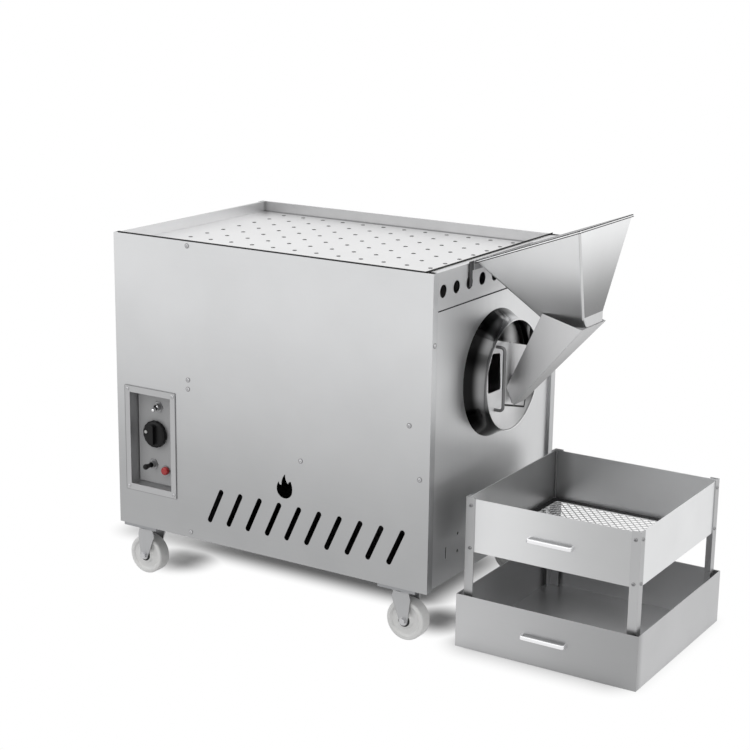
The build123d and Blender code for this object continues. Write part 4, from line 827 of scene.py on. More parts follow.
@dataclass
class Cabinet(Assembly):
    """Folded sheet cabinet: panels come from the frame; screws and painted shadows (rings under the screws,
    strips in the gaps, rings round the tray's holes, a line at its far wall's foot) are added here.
    """

    screw_radius: float = 0.0032
    screw_height: float = 0.0020
    low_height: float = 0.0010
    # Dark ring under each screw head: painted shadow.
    washer: Pair = (0.0005, 0.0042)  # thickness, radius
    side_screws: tuple[Pair, ...] = (
        (0.152, 0.493),
        (0.1505, 0.2715),
        (0.150, 0.256),
        (0.571, 0.264),
        (0.591, 0.182),
        (0.152, 0.010),
        (0.373, 0.173),
    )
    rear_screws: tuple[float, ...] = (0.391, 0.20, 0.03)
    flange_screw: Pair = (0.0075, 0.391)
    # Dark ring round each tray hole: a low burr whose dark colour is painted shadow in the hole.
    hole_shadow_ring: Triple = (0.0003, 0.0036, 0.0029)  # height, outer and inner radius
    hole_grid: tuple[int, int] = (12, 9)
    hole_pitch: Pair = (0.0424, 0.0453)
    tray_sheet: float = 0.001
    # Dark line at the foot of the tray's far wall: painted shadow in the corner.
    foot_shadow: Pair = (0.0010, 0.0012)
    foot_shadow_inset: Pair = (0.002, 0.0016)  # from the tray's ends, from its far side
    # Dark strips in the gaps beside the top tray and under the fascia: painted shadow.
    shadow_strip: Pair = (0.0012, 0.0026)
    shadow_strip_gap: float = 0.00075
    shadow_strip_sink: float = 0.0004
    shadow_strip_bend: float = 0.002
    fascia_shadow_strip: Pair = (0.0018, 0.0005)  # height, depth

    def build(self) -> None:
        """Add the screws with the dark rings under them, then the dark gap strips and the tray's edges, all
        painted shadow but the screws.
        """
        low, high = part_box("control_side_panel")
        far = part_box("far_side_panel")[1]
        inset, height = self.flange_screw
        near_side, far_side = (
            [(low.x + x, y, low.z + z) for x, z in self.side_screws] for y in (low.y, far.y)
        )
        rear = [(low.x, y, low.z + z) for y in (low.y + inset, far.y - inset) for z in self.rear_screws]
        rows = (
            (near_side, NEAR, self.screw_height),
            (far_side, Y, self.low_height),
            ([(high.x, low.y + inset, low.z + height)], X, self.screw_height),
            (rear, (-1, 0, 0), self.screw_height),
        )
        heads = [screw_heads(spots, out, self.screw_radius, tall) for spots, out, tall in rows]
        self.add("panel_screws", joined(*heads), "cabinet", "screw_steel")
        disc = slug_profile(0, *self.washer)
        screw_shadows = [turned(disc, spot, out, 24) for spots, out, _ in rows for spot in spots]
        self.add("panel_washers", joined(*screw_shadows), "cabinet", "nut_steel")
        self.shadow_strips()
        self.tray_edges()

    def tray_edges(self) -> None:
        """Turn a low dark ring round each punched hole of the tray and draw a dark line along its far wall's
        foot: the ring's height is a burr, its dark colour and the line are painted shadow.
        """
        low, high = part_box("top_tray")
        x, y, _ = middle("top_tray")
        top = low.z + self.tray_sheet
        ring = turned(slug_profile(0, *self.hole_shadow_ring), (0, 0, 0), Z, 12, closed=True)
        (columns, rows), (step_x, step_y) = self.hole_grid, self.hole_pitch
        across = [x + (i - (columns - 1) / 2) * step_x for i in range(columns)]
        along = [y + (j - (rows - 1) / 2) * step_y for j in range(rows)]
        spots = [(u, v, top) for u in across for v in along]
        self.add("hole_burrs", repeated(ring, spots), "tray", "dark_steel")
        end, back = self.foot_shadow_inset
        y, z = high.y - back, top + self.foot_shadow[1] / 2
        line = np.array([(low.x + end, y, z), (high.x - end, y, z)])
        self.add("tray_crease", swept(line, box_profile(*self.foot_shadow), Z), "tray", "nut_steel")

    def shadow_strips(self) -> None:
        """Lay a dark strip in the gap beside the top tray and one under the fascia: painted shadow."""
        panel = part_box("control_side_panel")[1]
        low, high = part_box("top_tray")
        end, half = high.x + self.shadow_strip_gap, high.y + self.shadow_strip_gap
        z = panel.z + self.shadow_strip[1] / 2 - self.shadow_strip_sink
        path = rounded([(low.x, -half, z), (end, -half, z), (end, half, z)], self.shadow_strip_bend, 4, False)
        beside = swept(path, box_profile(*self.shadow_strip), Z)
        low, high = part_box("vent_fascia")
        tall, deep = self.fascia_shadow_strip
        under = prism(box_profile(2 * high.y, tall), (high.x, 0, low.z + tall / 2), Y, Z, deep)
        self.add("dark_seals", joined(beside, under), "cabinet", "belt_rubber")


@dataclass
class Mouth(Assembly):
    """Polished collar, drum, the gate's wire handle and the dark strip in its slit, a painted shadow."""

    base_radius: float = 0.103
    rim_radius: float = 0.089
    cone_length: float = 0.021
    sheet: float = 0.0012
    drum_radius: float = 0.150
    drum_sheet: float = 0.0015
    neck_radius: float = 0.094
    cone_run: float = 0.055
    cone_eases: Triple = (0.0002, 0.01, 0.0006)  # at the shell, at the bend, at the mouth
    wire_radius: float = 0.0025
    wire_bend: float = 0.008
    gate_turn: float = 15.0
    slit: Pair = (-0.0118, 0.0604)
    slit_drop: float = 0.0499
    slit_rise: float = 0.0240
    # Dark strip in the gate's slit: painted shadow.
    slit_shadow_strip: Pair = (0.0030, 0.0006)
    slit_shadow_bend: float = 0.0015
    facets: int = 128

    def build(self) -> None:
        """Make the turned pieces, the handle and the lining.

        The collar's flare is the parabola (1-t)^2 base + 2t(1-t) bend + t^2 rim, turned about the drum axis.
        """
        low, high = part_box("mouth_collar")
        centre = (0.0, 0.0, middle("mouth_collar")[2])
        t = np.linspace(0, 1, 15).reshape(-1, 1)
        base = np.array([low.x, self.base_radius])
        bend = np.array([low.x + self.cone_length, self.rim_radius])
        rim = np.array([high.x, self.rim_radius])
        flare = (1 - t) ** 2 * base + 2 * t * (1 - t) * bend + t**2 * rim
        loop = np.vstack([flare, flare[::-1] - [0, self.sheet]])
        self.lathe("collar", loop, centre, "cabinet", "polished_steel", "mouth_collar")
        self.drum(centre)
        self.handle()
        self.slit_lining(centre[2])

    def lathe(self, name: str, loop: Array, centre: Point, body: str, steel: str, node: str) -> None:
        """Turn a closed outline about the drum's axis.

        Args:
            name: piece name.
            loop: the outline.
            centre: a point on the axis, where the outline's distance along it is zero.
            body: body it rides on.
            steel: its finish.
            node: CAD node it stands for.
        """
        self.add(name, turned(loop, centre, X, self.facets, True), body, steel, steel, [node])

    def drum(self, centre: Point) -> None:
        """Turn the drum's shell and its cone with the neck.

        Args:
            centre: a point on the drum's axis.
        """
        low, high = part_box("drum_shell")
        r, t = self.drum_radius, self.drum_sheet
        wall = slug_profile(low.x, high.x, r, r - t)
        self.lathe("drum_wall", wall, centre, "drum", "drum_steel", "drum_shell")
        low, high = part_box("drum_cone")
        bend, n = low.x + self.cone_run, self.neck_radius
        outside = [(low.x, r), (bend, n), (high.x, n)]
        inside = [(along, out - t) for along, out in reversed(outside)]
        loop = rounded(outside + inside, self.cone_eases + self.cone_eases[::-1], 6)
        self.lathe("drum_mouth", loop, centre, "drum", "drum_steel", "drum_cone")

    def handle(self) -> None:
        """Bend the gate's wire handle."""
        low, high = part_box("gate_handle")
        y, r = middle("gate_handle")[1], self.wire_radius
        out, bottom, top = high.x - r, low.z + r, high.z - r
        corners = [(low.x, y, bottom), (out, y, bottom), (out, y, top), (low.x, y, top)]
        wire = swept(rounded(corners, self.wire_bend, 9, closed=False), ring_profile(r), Y)
        self.add("gate_wire", wire, "gate", "wire_steel", "polished_steel", ["gate_handle"])

    def slit_lining(self, axis_z: float) -> None:
        """Line the gate's L-shaped slit with painted shadow: a dark strip along its foot and up its far end,
        turned as the gate.

        Args:
            axis_z: height of the drum's axis.
        """
        turn = radians(self.gate_turn)
        across, up = np.array([0, cos(turn), -sin(turn)]), np.array([0, sin(turn), cos(turn)])
        half, (start, end) = self.slit_shadow_strip[0] / 2, self.slit
        u = np.array([start, end - half, end - half])
        v = half - self.slit_drop + np.array([0, 0, self.slit_rise])
        centre = np.array([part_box("mouth_gate")[1].x, 0, axis_z])
        path = rounded(centre + u[:, None] * across + v[:, None] * up, self.slit_shadow_bend, 4, False)
        self.add("slit_lining", swept(path, box_profile(*self.slit_shadow_strip), X), "gate", "belt_rubber")


@dataclass
class Hopper(Assembly):
    """Folded feed hopper: funnel, hemmed rim, seam and chute.

    Places are pairs: outwards from the mouth end, up from the panel's foot.
    """

    rim_back: Pair = (0.0023, 0.5025)
    back_half: float = 0.092
    rim_front: Pair = (0.177, 0.567)
    front_half: float = 0.0945
    throat_back: Pair = (0.077, 0.4097)
    throat_front: Pair = (0.1514, 0.418)
    throat_half: float = 0.036
    throat_offset: float = 0.0225
    spigot: float = 0.0165
    spigot_taper: float = 0.011
    lip: float = 0.014
    chute_back: Pair = (0.085, 0.4185)
    chute_front: Pair = (0.1526, 0.4009)
    chute_half: float = 0.04375
    chute_offset: float = 0.02175
    tip_front: Pair = (0.0405, 0.2655)
    tip_back: Pair = (0.0276, 0.2927)
    tip_narrow: float = 0.050
    sheet: float = 0.0012
    fold: float = 0.005
    hem_out: float = 0.0004
    hem_start: float = 0.0004
    hem_strips: tuple[tuple[str, str, float, float], ...] = (  # name, finish, height, thickness
        # The dark strips are painted shadow lines above and below the hem.
        ("hem_edge", "dark_steel", 0.0012, 0.0014),
        ("funnel_hem", "funnel_sheet", 0.0016, 0.0016),
        ("hem_crease", "dark_steel", 0.0012, 0.0012),
    )
    seam: Pair = (0.0042, 0.0009)
    seam_facing: Triple = (0.75, -0.66, 0.0)
    seam_sink: float = 0.0013
    seam_drop: float = 0.003

    def ring(self, back: Pair, front: Pair, back_sides: Pair, front_sides: Pair) -> Array:
        """Four corners in order, from near back over near front and far front to far back.

        Args:
            back: place of the back edge.
            front: place of the front edge.
            back_sides: near and far end of the back edge.
            front_sides: near and far end of the front edge.

        Returns:
            The corners.
        """
        (b0, b1), (f0, f1) = back_sides, front_sides
        return np.array([self.corner(*c) for c in ((back, b0), (front, f0), (front, f1), (back, b1))])

    def corner(self, place: Pair, y: float) -> Array:
        """Point at a place and at a distance from the middle plane."""
        low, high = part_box("control_side_panel")
        return np.array([high.x + place[0], y, low.z + place[1]])

    def loop(self, corners: Array, inset: float) -> Array:
        """Loop of four corners, drawn in towards its middle by an inset and eased at the folds.

        Args:
            corners: the four outer corners in order.
            inset: distance from the outer edges.

        Returns:
            The loop's points.
        """
        along = corners - np.roll(corners, 1, 0)
        along /= np.linalg.norm(along, axis=1, keepdims=True)
        ahead = np.roll(-along, -1, 0)
        return rounded(corners - inset * along - inset * ahead, self.fold, 5)

    def build(self) -> None:
        """Make the funnel, its hem, its seam and the chute.

        Each skin of the funnel blends evenly from the rim to the throat and then down the spigot.
        """
        back, front, offset, half = self.back_half, self.front_half, self.throat_offset, self.throat_half
        sides = (offset - half, offset + half)
        rim = self.ring(self.rim_back, self.rim_front, (-back, back), (-front, front))
        throat = self.ring(self.throat_back, self.throat_front, sides, sides)
        outlet = throat + [[0, self.spigot_taper * share, -self.spigot] for share in (1, 1, 0, 0)]
        blend = np.linspace(0, 1, 13).reshape(1, -1, 1)
        lower = np.array([0.1, 1.0]).reshape(1, -1, 1)
        skins = []
        for inset in (0.0, self.sheet):
            top, neck, end = (self.loop(corners, inset)[:, None] for corners in (rim, throat, outlet))
            walls, spigot = (1 - blend) * top + blend * neck, (1 - lower) * neck + lower * end
            skins.append(np.concatenate([walls, spigot], 1))
        funnel = grid_shell(np.concatenate([skins[0], skins[1][:, ::-1]], 1), True, True)
        lip_middle = self.corner(self.rim_back, 0) - [0, 0, self.lip / 2]
        lip = prism(box_profile(2 * back, self.lip, 0.001, 4), lip_middle, Y, Z, self.sheet)
        shell = joined(funnel, lip)
        made = self.add("funnel", shell, "hopper", "funnel_sheet", replaces=["hopper_funnel"], sharp=26)
        self.dress_funnel(made, throat[0], throat[1])
        self.rim_hem(rim)
        self.corner_seam(rim[1], throat[1])
        self.chute(self.chute_offset - self.chute_half, self.chute_offset + self.chute_half)

    def dress_funnel(self, made: bpy.types.Object, back: Array, front: Array) -> None:
        """Give the inside, the spigot and the front wall their own tones of the funnel's sheet, painted
        shade: the inside and the spigot darker, the front wall with its own darkening near the throat.

        A face is inside when it looks towards the throat's upright middle line, of the spigot when it lies
        below the throat's sloping edge, and of the front wall when it looks along X.

        Args:
            made: the funnel.
            back: throat corner nearest the cabinet.
            front: throat corner furthest from it.
        """
        slack = 0.0002
        centre, normal = face_values(made, "center"), face_values(made, "normal")
        away = centre[:, :2] - [(back[0] + front[0]) / 2, self.throat_offset]
        inside = np.einsum("ij,ij->i", away, normal[:, :2]) < 0
        slope = (front[2] - back[2]) / (front[0] - back[0])
        spigot = centre[:, 2] < back[2] + slope * (centre[:, 0] - back[0]) - slack
        index = np.select([inside, spigot, normal[:, 0] > 0.5], [3, 2, 1], 0)
        self.repaint(made, index, "funnel_front", "funnel_spigot", "funnel_inside")

    def rim_hem(self, rim: Array) -> None:
        """Fold the rim's hem outwards: a flat strip carried round the rim between two dark strips, painted
        shadow lines.

        Args:
            rim: the rim's four corners.
        """
        normal = unit(np.cross(rim[1] - rim[0], rim[3] - rim[0]))
        path = self.loop(rim, -self.hem_out)
        drop = self.hem_start
        for name, finish, tall, thick in self.hem_strips:
            strip = box_profile(thick, tall, 0.0003, 4) - [0, drop + tall / 2]
            self.add(name, swept(path, strip, normal, closed=True), "hopper", finish)
            drop += tall

    def corner_seam(self, top: Array, bottom: Array) -> None:
        """Dress the near front fold with a ground weld: a thin flat strip down the fold.

        Args:
            top: the fold's upper end.
            bottom: its lower end.
        """
        outward = unit(self.seam_facing)
        path = np.array([top, bottom]) - self.seam_sink * outward - [0, 0, self.seam_drop]
        along = unit(path[1] - path[0])
        flat = unit(outward - along * np.dot(outward, along))
        self.add("funnel_seam", swept(path, box_profile(*self.seam, 0.0003), flat), "hopper", "seam_steel")

    def chute(self, low_y: float, high_y: float) -> None:
        """Fold the chute: at each step along it, a U from one wall's edge over the floor to the other's.

        The far wall draws in evenly towards the tip.

        Args:
            low_y: near wall's outside.
            high_y: far wall's outside.
        """
        step = np.linspace(0, 1, 16).reshape(-1, 1)
        edge = (1 - step) * self.corner(self.chute_back, 0) + step * self.corner(self.tip_back, 0)
        floor = (1 - step) * self.corner(self.chute_front, 0) + step * self.corner(self.tip_front, 0)
        near, far = low_y + self.sheet / 2, high_y - self.sheet / 2
        share = np.array([0.0, 1.0, 1.0, 0.0])
        points = edge[:, None] + share[None, :, None] * (floor - edge)[:, None]
        points[..., 1] = np.array([near, near, far, far]) - step * self.tip_narrow * np.array([0, 0, 1, 1])
        made = self.add(
            "chute",
            grid_shell(points),
            "hopper",
            "chute_sheet",
            replaces=["hopper_chute"],
            bevel=0.0008,
            wall=self.sheet,
        )
        # The floor's faces take the darker chute_floor tone of the same sheet: painted shade.
        self.repaint(made, abs(face_values(made, "normal")[:, 1]) < 0.5, "chute_floor")


@dataclass
class Castors(Assembly):
    """Four swivel castors: turned nylon wheels in pressed forks."""

    wheel_radius: float = 0.03325
    half_width: float = 0.013
    bore_radius: float = 0.0041
    hub_radius: float = 0.012
    fork_gap: float = 0.014
    fork_sheet: float = 0.0025
    fork_end: float = 0.0075
    fork_arc: Pair = (1.06, 1.97)
    shoulder: float = 0.017
    hip_drop: float = 0.014
    hip_slant: float = 0.004
    crown: Pair = (0.0225, 0.003)  # radius, thickness
    trail: float = 0.005
    axle_radius: float = 0.004
    washer: Pair = (0.001, 0.0068)  # thickness, radius
    nut: Pair = (0.004, 0.0055)  # outer face from the fork, radius
    # Dark ring at each hub face: painted shadow between fork and wheel.
    hub_shadow: Triple = (0.0009, 0.0100, 0.0042)  # thickness, radius, bore

    def build(self) -> None:
        """Dress each corner's wheel and fork."""
        for corner in CORNERS:
            self.wheel(f"wheel_{corner}", f"castor_wheel_{corner}")
            self.fork(corner, f"castor_fork_{corner}")

    def wheel(self, name: str, body: str) -> None:
        """Turn one wheel: hub, dished web and round tread.

        Args:
            name: piece name.
            body: body it rides on, which is also the node it stands for.
        """
        w, r, hub = self.half_width, self.wheel_radius, self.hub_radius
        half = [
            (w, self.bore_radius),
            (w, hub),
            (w - 0.004, hub + 0.002),
            (w - 0.004, r - 0.009),
            (w - 0.001, r - 0.007),
            (w - 0.001, r),
        ]
        ease = [0.0005, 0.0015, 0.002, 0.002, 0.002, 0.0100]
        profile = rounded(half + [(-x, y) for x, y in reversed(half)], ease + ease[::-1], 6)
        tread = turned(profile, middle(body), Y, 72, closed=True)
        self.add(name, tread, body, "white_nylon", "white_nylon", [body])

    def fork(self, corner: str, body: str) -> None:
        """Press one fork: crown, two tapered legs, axle with its bolt head and nut, and two dark rings at the
        hub that paint the shadow between fork and wheel.

        Args:
            corner: the castor's corner.
            body: body it rides on, which is also the node it stands for.
        """
        x, y, z = middle(f"castor_wheel_{corner}")
        crown_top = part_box(body)[1].z
        top, lean = crown_top - z, -1 if corner.startswith("mouth") else 1
        arc = np.pi * np.linspace(*self.fork_arc, 15)
        foot = self.fork_end * np.stack([np.cos(arc), np.sin(arc)], 1)
        front, back = self.trail + self.shoulder, self.trail - self.shoulder
        hip, slant = top - self.hip_drop, self.hip_slant
        shoulders = [(front, hip), (front - slant, top), (back + slant, top), (back, hip)]
        outline = np.vstack([foot, shoulders]) * [lean, 1]
        inner, outer = self.fork_gap, self.fork_gap + self.fork_sheet
        legs = [prism(outline, (x, y + start, z), X, Z, self.fork_sheet) for start in (-inner, outer)]
        radius, thick = self.crown
        crown = prism(ring_profile(radius, 40), (x + lean * self.trail, y, crown_top - thick), X, Y, thick)
        shell = joined(*legs, crown)
        self.add(f"fork_{corner}", shell, body, "zinc_steel", "zinc_steel", [body], bevel=0.0007)
        washer = rounded(slug_profile(0, *self.washer), 0.0002, 3, False)
        nut = rounded(slug_profile(self.washer[0], *self.nut), 0.0006, 4, False)
        bolt, hub_shadows = [], []
        for sign in (-1, 1):
            face, axis = (x, y + sign * outer, z), (0, sign, 0)
            bolt += [turned(washer, face, axis, 40), turned(nut, face, axis, 6)]
            hub_face = (x, y + sign * self.half_width, z)
            hub_shadows.append(turned(slug_profile(0, *self.hub_shadow), hub_face, axis, 32, True))
        bolt.append(turned(slug_profile(-outer, outer, self.axle_radius), (x, y, z), Y, 24))
        self.add(f"axle_{corner}", joined(*bolt), body, "screw_steel", "zinc_steel", sharp=25)
        self.add(f"spacer_{corner}", joined(*hub_shadows), body, "belt_rubber", "zinc_steel")


@dataclass
class Controls(Assembly):
    """Recess face, the dark line round the bezel (painted shadow) and its screws, knob and push button."""

    knob_radius: float = 0.0235
    knob_depth: float = 0.015
    crown: Pair = (0.009, 0.0195)  # height, radius
    skirt: float = 0.006
    flutes: int = 16
    flute_depth: float = 0.03
    flute_fade: Pair = (0.019, 0.004)  # radius where the flutes start, distance to their full depth
    grip_half: Pair = (0.0045, 0.0175)
    grip_foot: float = 0.0085
    stem: Pair = (0.012, 0.003)  # length, radius
    dot_place: Triple = (-0.0150, -0.0093, 0.003)
    recess: Pair = (0.0826, 0.1572)
    recess_depth: float = 0.0219
    recess_sheet: float = 0.0004
    # Dark line round the bezel: painted shadow in its gap.
    bezel_shadow: Pair = (0.0010, 0.0005)
    screw_inset: Pair = (0.0055, 0.006)
    screw: Pair = (0.0032, 0.002)  # radius, height

    def build(self) -> None:
        """Make the controls."""
        self.bezel()
        self.knob()
        self.button()

    def bezel(self) -> None:
        """Face the recess with a painted plate, edge the bezel with a dark line that paints the shadow in its
        gap and screw its corners down.
        """
        low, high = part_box("control_box")
        x, _, z = middle("control_box")
        face = box_profile(*self.recess, 0.002, 4)
        plate = prism(face, (x, low.y + self.recess_depth, z), X, Z, self.recess_sheet)
        self.add("recess_face", plate, "cabinet", "recess_paint")
        outline = ((low.x, low.z), (high.x, low.z), (high.x, high.z), (low.x, high.z))
        path = rounded([(x, low.y, z) for x, z in outline], 0.001, 3)
        bezel_shadow = swept(path, box_profile(*self.bezel_shadow, 0.0001), Y, closed=True)
        self.add("bezel_gasket", bezel_shadow, "cabinet", "nut_steel")
        in_x, in_z = self.screw_inset
        spots = [(x, low.y, z) for x in (low.x + in_x, high.x - in_x) for z in (low.z + in_z, high.z - in_z)]
        heads = screw_heads(spots, NEAR, *self.screw)
        self.add("bezel_screws", heads, "cabinet", "screw_steel", "switch_chrome")

    def knob(self) -> None:
        """Mould the knob: a fluted skirt, a stepped crown, a grip bar and a pale pointer dot.

        The skirt's radius is r * (1 - depth * (1 + cos(flutes * a)) / 2), flutes fading to the crown.
        """
        x, _, z = middle("speed_knob")
        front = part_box("speed_knob")[0].y
        back = front + self.knob_depth
        r, (tall, crown) = self.knob_radius, self.crown
        half = [(0, 0.002), (0, r), (self.skirt, r), (tall, crown), (tall, 0)]
        profile = rounded(half, [0, 0.001, 0.0015, 0.001, 0], 5, False)
        a = np.linspace(0, 2 * np.pi, 96, endpoint=False).reshape(-1, 1)
        along, out = profile[None, :, 0], profile[None, :, 1]
        start, run = self.flute_fade
        wave = self.flute_depth * (1 + np.cos(self.flutes * a)) / 2
        radius = out * (1 - wave * np.clip((out - start) / run, 0, 1))
        depth = np.broadcast_to(back - along, radius.shape)
        skirt = grid_shell(np.stack([x + radius * np.cos(a), depth, z + radius * np.sin(a)], -1), wrap_u=True)
        grip_x, grip_z = self.grip_half
        grip, foot = box_profile(2 * grip_x, 2 * grip_z, 0.004, 6), back - self.grip_foot
        bar = prism(grip, (x, foot, z), X, Z, foot - front)
        length, thin = self.stem
        stem = turned(np.array([(0, thin), (length, thin), (length, 0)]), (x, back, z), Y, 24)
        shell = joined(skirt, bar, stem)
        self.add("knob", shell, "knob", "black_plastic", "black_plastic", ["speed_knob"], bevel=0.0006)
        dome = np.array([(0, 0.0), (0.0003, 0.0028), (-0.001, 0.003)])
        dot = turned(dome, np.array([x, back, z]) + self.dot_place, NEAR, 24)
        self.add("knob_dot", dot, "knob", "pointer_paint", "black_plastic")

    def button(self) -> None:
        """Turn the domed push button."""
        low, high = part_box("ignition_button")
        x, _, z = middle("ignition_button")
        slug = slug_profile(0, high.y - low.y, (high.x - low.x) / 2)
        cap = turned(rounded(slug, [0, 0.0005, 0.004, 0], 8, False), (x, high.y, z), NEAR, 48)
        self.add("button_cap", cap, "ignition_button", "red_plastic", "red_plastic", ["ignition_button"])


@dataclass
class SieveStand(Assembly):
    """Catch tray and sieve: bow handles, leg screws, mesh floor and corner seams."""

    strap: Pair = (0.0035, 0.0065)
    screw: Pair = (0.003, 0.002)  # radius, height
    screw_inset: float = 0.0085
    screw_heights: Pair = (0.006, 0.011)  # up from the box's foot, down from its rim
    border: float = 0.010
    diamond: Pair = (0.013, 0.0075)
    strand: float = 0.0024
    wall: float = 0.0012
    seam: float = 0.0030
    seam_ends: Pair = (0.003, 0.002)  # up from the box's foot, down from its rim

    def build(self) -> None:
        """Make the handles, the leg screws, the mesh and the box's corner seams."""
        self.handle("sieve_handle", "sieve")
        self.handle("catch_handle", "catch")
        self.leg_screws()
        self.mesh()
        self.corner_seams()

    def handle(self, node: str, body: str) -> None:
        """Bend one bow handle: an eased strap carried along its bow.

        Args:
            node: CAD node it stands for.
            body: body it rides on.
        """
        low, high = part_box(node)
        t, z = self.strap[0] / 2, middle(node)[2]
        left, right, out = low.x + t, high.x - t, low.y + t
        corners = [(left, high.y, z), (left, out, z), (right, out, z), (right, high.y, z)]
        bow = swept(rounded(corners, 0.004, 7, closed=False), box_profile(*self.strap, 0.0014, 5), Z)
        self.add(node.replace("handle", "bow"), bow, body, "handle_aluminium", "handle_aluminium", [node])

    def leg_screws(self) -> None:
        """Two screws in each flange of each leg."""
        low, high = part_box("sieve_legs")
        box_low, box_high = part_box("sieve_box")
        heights = (box_low.z + self.screw_heights[0], box_high.z - self.screw_heights[1])
        inset = self.screw_inset
        heads = []
        for face, out in ((low, -1), (high, 1)):
            across = [(x, face.y, z) for x in (low.x + inset, high.x - inset) for z in heights]
            along = [(face.x, y, z) for y in (low.y + inset, high.y - inset) for z in heights]
            heads.append(screw_heads(across, (0, out, 0), *self.screw))
            heads.append(screw_heads(along, (out, 0, 0), *self.screw))
        self.add("leg_screws", joined(*heads), "sieve", "nut_steel")

    def mesh(self) -> None:
        """Lay the expanded-metal floor inside a dark border, painted shadow where the floor meets the box's
        walls.

        Strand k runs along x as y = (k + 0.5 * (-1)^k * w(x)) * pitch, where w is a triangle wave between -1
        and 1, so that each strand meets its neighbours in turn and leaves diamonds between.
        """
        low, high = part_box("sieve_floor")
        z, thick = middle("sieve_floor")[2], high.z - low.z
        x0, x1 = low.x + self.border, high.x - self.border
        y0, y1 = low.y + self.border, high.y - self.border
        waves, rows = round((x1 - x0) / self.diamond[0]), round((y1 - y0) / self.diamond[1])
        x = np.linspace(x0, x1, 2 * waves + 1)
        wave = np.where(np.arange(2 * waves + 1) % 2, 1.0, -1.0)
        profile = box_profile(self.strand, thick)
        pitch = (y1 - y0) / rows
        strands = []
        for k in range(1, rows):
            y = y0 + (k + 0.5 * (-1) ** k * wave) * pitch
            strands.append(swept(np.stack([x, y, np.full_like(x, z)], 1), profile, Z))
        self.add("sieve_mesh", joined(*strands), "sieve", "mesh_steel", "polished_steel", ["sieve_floor"])
        b = self.border / 2
        left, right, front, back = low.x + b, high.x - b, low.y + b, high.y - b
        corners = [(left, front, z), (right, front, z), (right, back, z), (left, back, z)]
        band = swept(rounded(corners, 0.002, 4), box_profile(self.border, thick), Z, closed=True)
        self.add("mesh_border", band, "sieve", "dark_steel", "polished_steel")

    def corner_seams(self) -> None:
        """Draw the weld seam up each inside corner of the sieve box: a square strip carried upwards."""
        low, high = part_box("sieve_box")
        inset = self.wall + self.seam / 2
        foot, top = low.z + self.seam_ends[0], high.z - self.seam_ends[1]
        strip = box_profile(self.seam, self.seam, 0.0004)
        corners = [(x, y) for x in (low.x + inset, high.x - inset) for y in (low.y + inset, high.y - inset)]
        seams = [swept(np.array([(x, y, foot), (x, y, top)]), strip, X) for x, y in corners]
        self.add("box_seams", joined(*seams), "sieve", "nut_steel")


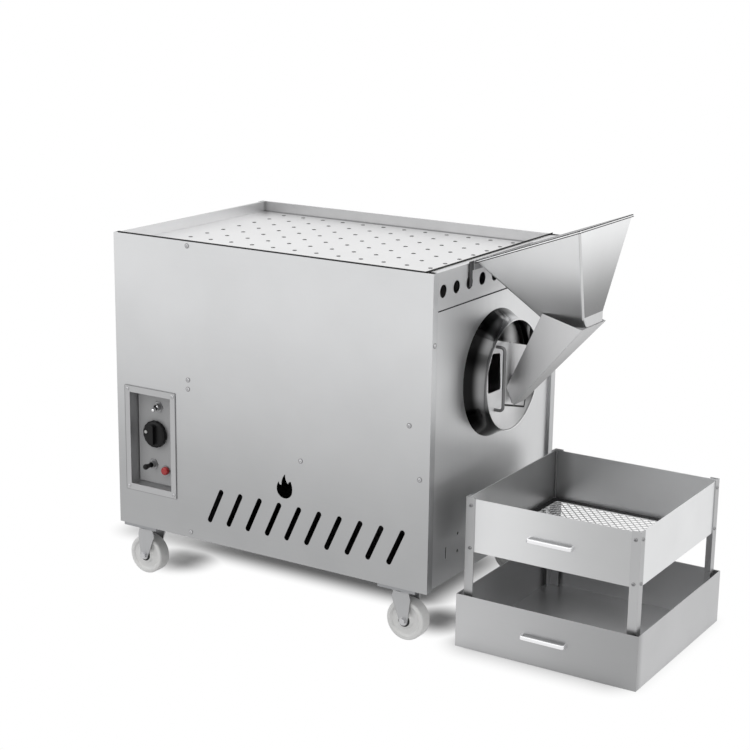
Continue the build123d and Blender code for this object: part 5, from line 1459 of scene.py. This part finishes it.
@dataclass
class Studio:
    """Pale floor, soft light and the camera at the photograph's place."""

    lens: float = 82.695
    sensor: float = 36.0
    azimuth: float = 31.95
    elevation: float = 14.57
    roll: float = 0.79
    place: Triple = (1.38823, -2.34864, 1.08253)
    floor_half: float = 12.0
    floor_height: float = -0.0006
    floor_colour: tuple[float, float, float, float] = (0.75, 0.75, 0.75, 1.0)
    floor_glow: float = 0.06
    shadow_reach: float = 0.075
    shaded: tuple[tuple[float, float, float, float], ...] = (
        (-0.56, 0.03, -0.015, 0.20),
        (-0.42, -0.40, -0.11, -0.09),
        (0.10, 0.11, -0.095, -0.075),
        (0.21, 0.43, -0.14, 0.14),
    )
    light_level: float = 0.5
    steep: float = 0.98

    def build(self) -> None:
        """Set up the whole studio."""
        bpy.context.scene.view_settings.view_transform = "Standard"
        self.camera()
        self.floor()
        self.world()
        self.lamps()

    def put(self, data: bpy.types.ID, place: Point, axes: Sequence[Array]) -> bpy.types.Object:
        """Put a camera or a lamp into the scene.

        Args:
            data: its settings.
            place: where it stands.
            axes: its right, up and back directions.

        Returns:
            The new object.
        """
        made = linked(data.name, data)
        basis = Matrix(np.stack(axes, 1).tolist()).to_4x4()
        basis.translation = place
        made.matrix_world = basis
        return made

    def camera(self) -> None:
        """Place the camera: back axis from azimuth and elevation, then roll about it."""
        az, el, roll = (radians(v) for v in (self.azimuth, self.elevation, self.roll))
        back = np.array([sin(az) * cos(el), -cos(az) * cos(el), sin(el)])
        right = unit(np.cross(-back, Z))
        up = np.cross(back, right)
        data = bpy.data.cameras.new("photo_camera")
        data.lens = self.lens
        data.sensor_width = self.sensor
        axes = (cos(roll) * right + sin(roll) * up, cos(roll) * up - sin(roll) * right, back)
        bpy.context.scene.camera = self.put(data, self.place, axes)

    def floor(self) -> None:
        """Lay a pale floor that keeps the shadow near the roaster and is plain white further out."""
        material = bpy.data.materials.new("pale_floor")
        g = Graph(material)
        g.tree.nodes.remove(g.tree.nodes["Principled BSDF"])
        seen = g.seen()
        matt = g.step("BsdfDiffuse", self.floor_colour)
        glow = g.step("Emission", WHITE, g.step("Math", seen, self.floor_glow, operation="MULTIPLY"))
        away = self.beyond(g, self.shaded[0])
        for box in self.shaded[1:]:
            away = g.step("Math", away, self.beyond(g, box), operation="MINIMUM")
        fade = g.step("MapRange", away, 0.0, self.shadow_reach, interpolation_type="SMOOTHSTEP")
        share = g.step("Math", fade, seen, operation="MULTIPLY")
        blend = g.step("MixShader", share, g.step("AddShader", matt, glow), g.step("Emission", WHITE, 1.0))
        output = next(n for n in g.tree.nodes if n.type == "OUTPUT_MATERIAL")
        g.feed(output.inputs["Surface"], blend)
        mesh = bpy.data.meshes.new("studio_floor")
        half, z = self.floor_half, self.floor_height
        corners = [(-half, -half, z), (half, -half, z), (half, half, z), (-half, half, z)]
        mesh.from_pydata(corners, [], [(0, 1, 2, 3)])
        mesh.materials.append(material)
        ground = linked("studio_floor", mesh)

    def beyond(self, g: Graph, box: Point) -> Socket:
        """Distance outside a shaded patch of floor: length of (max(|x| - half, 0), max(|y| - half, 0)).

        Args:
            g: the floor's node tree.
            box: the patch's limits along X, then along Y.

        Returns:
            The distance, nothing inside the patch.
        """
        x0, x1, y0, y1 = box
        centre, half = ((x0 + x1) / 2, (y0 + y1) / 2, 0), ((x1 - x0) / 2, (y1 - y0) / 2, 1)
        offset = g.step("VectorMath", g.place(), centre, operation="SUBTRACT")
        size = g.step("VectorMath", offset, operation="ABSOLUTE")
        rest = g.step("VectorMath", size, half, operation="SUBTRACT")
        kept = g.step("VectorMath", rest, (0, 0, 0), operation="MAXIMUM")
        return g.step("VectorMath", kept, operation="LENGTH")

    def world(self) -> None:
        """White surroundings for the camera and for reflections, a plain level for light."""
        scene_world = bpy.data.worlds.new("white_studio")
        bpy.context.scene.world = scene_world
        g = Graph(scene_world)
        ground = g.tree.nodes["Background"].inputs
        g.feed(ground["Color"], WHITE)
        g.feed(ground["Strength"], g.step("MapRange", g.seen(), 0.0, 1.0, self.light_level, 1.0))

    def lamps(self) -> None:
        """Hang three large soft lamps, above, left and right, and a narrow one that shines into the mouth."""
        for name, place, aim, size, power in (
            ("top_soft", (-0.2, -0.4, 3.0), (0, 0, 0.3), 4.0, 36.0),
            ("left_soft", (-2.6, -2.8, 2.2), (0, 0, 0.35), 3.2, 26.0),
            ("right_soft", (3.2, -0.6, 2.0), (0.2, 0, 0.35), 3.0, 20.0),
        ):
            data = bpy.data.lights.new(name, "AREA")
            data.size = size
            data.energy = power
            self.hang(data, place, aim)
        data = bpy.data.lights.new("mouth_spot", "SPOT")
        data.energy = 90.0
        data.spot_size = radians(9.5)
        data.spot_blend = 0.4
        data.shadow_soft_size = 0.06
        self.hang(data, (0.55, -1.20, 0.25), (0.15, 0.02, 0.43)).visible_glossy = False

    def hang(self, data: bpy.types.Light, place: Point, aim: Point) -> bpy.types.Object:
        """Hang a lamp at a place and turn it towards its aim.

        Args:
            data: the lamp's settings.
            place: where it hangs.
            aim: the point it lights.

        Returns:
            The lamp.
        """
        back = unit(np.array(place) - np.array(aim))
        right = unit(np.cross(Z if abs(back[2]) < self.steep else Y, back))
        return self.put(data, place, (right, np.cross(back, right), back))


def main() -> None:
    """Build the roaster's looks in order."""
    logging.basicConfig(level=logging.INFO, format="%(name)s: %(message)s")
    finishes = build_finishes()
    dress_nodes(finishes)
    for part in (Cabinet, Mouth, Hopper, Castors, Controls, SieveStand):
        part(finishes).build()
        LOG.info("built %s", part.__name__)
    Studio().build()


if __name__ == "__main__":
    main()
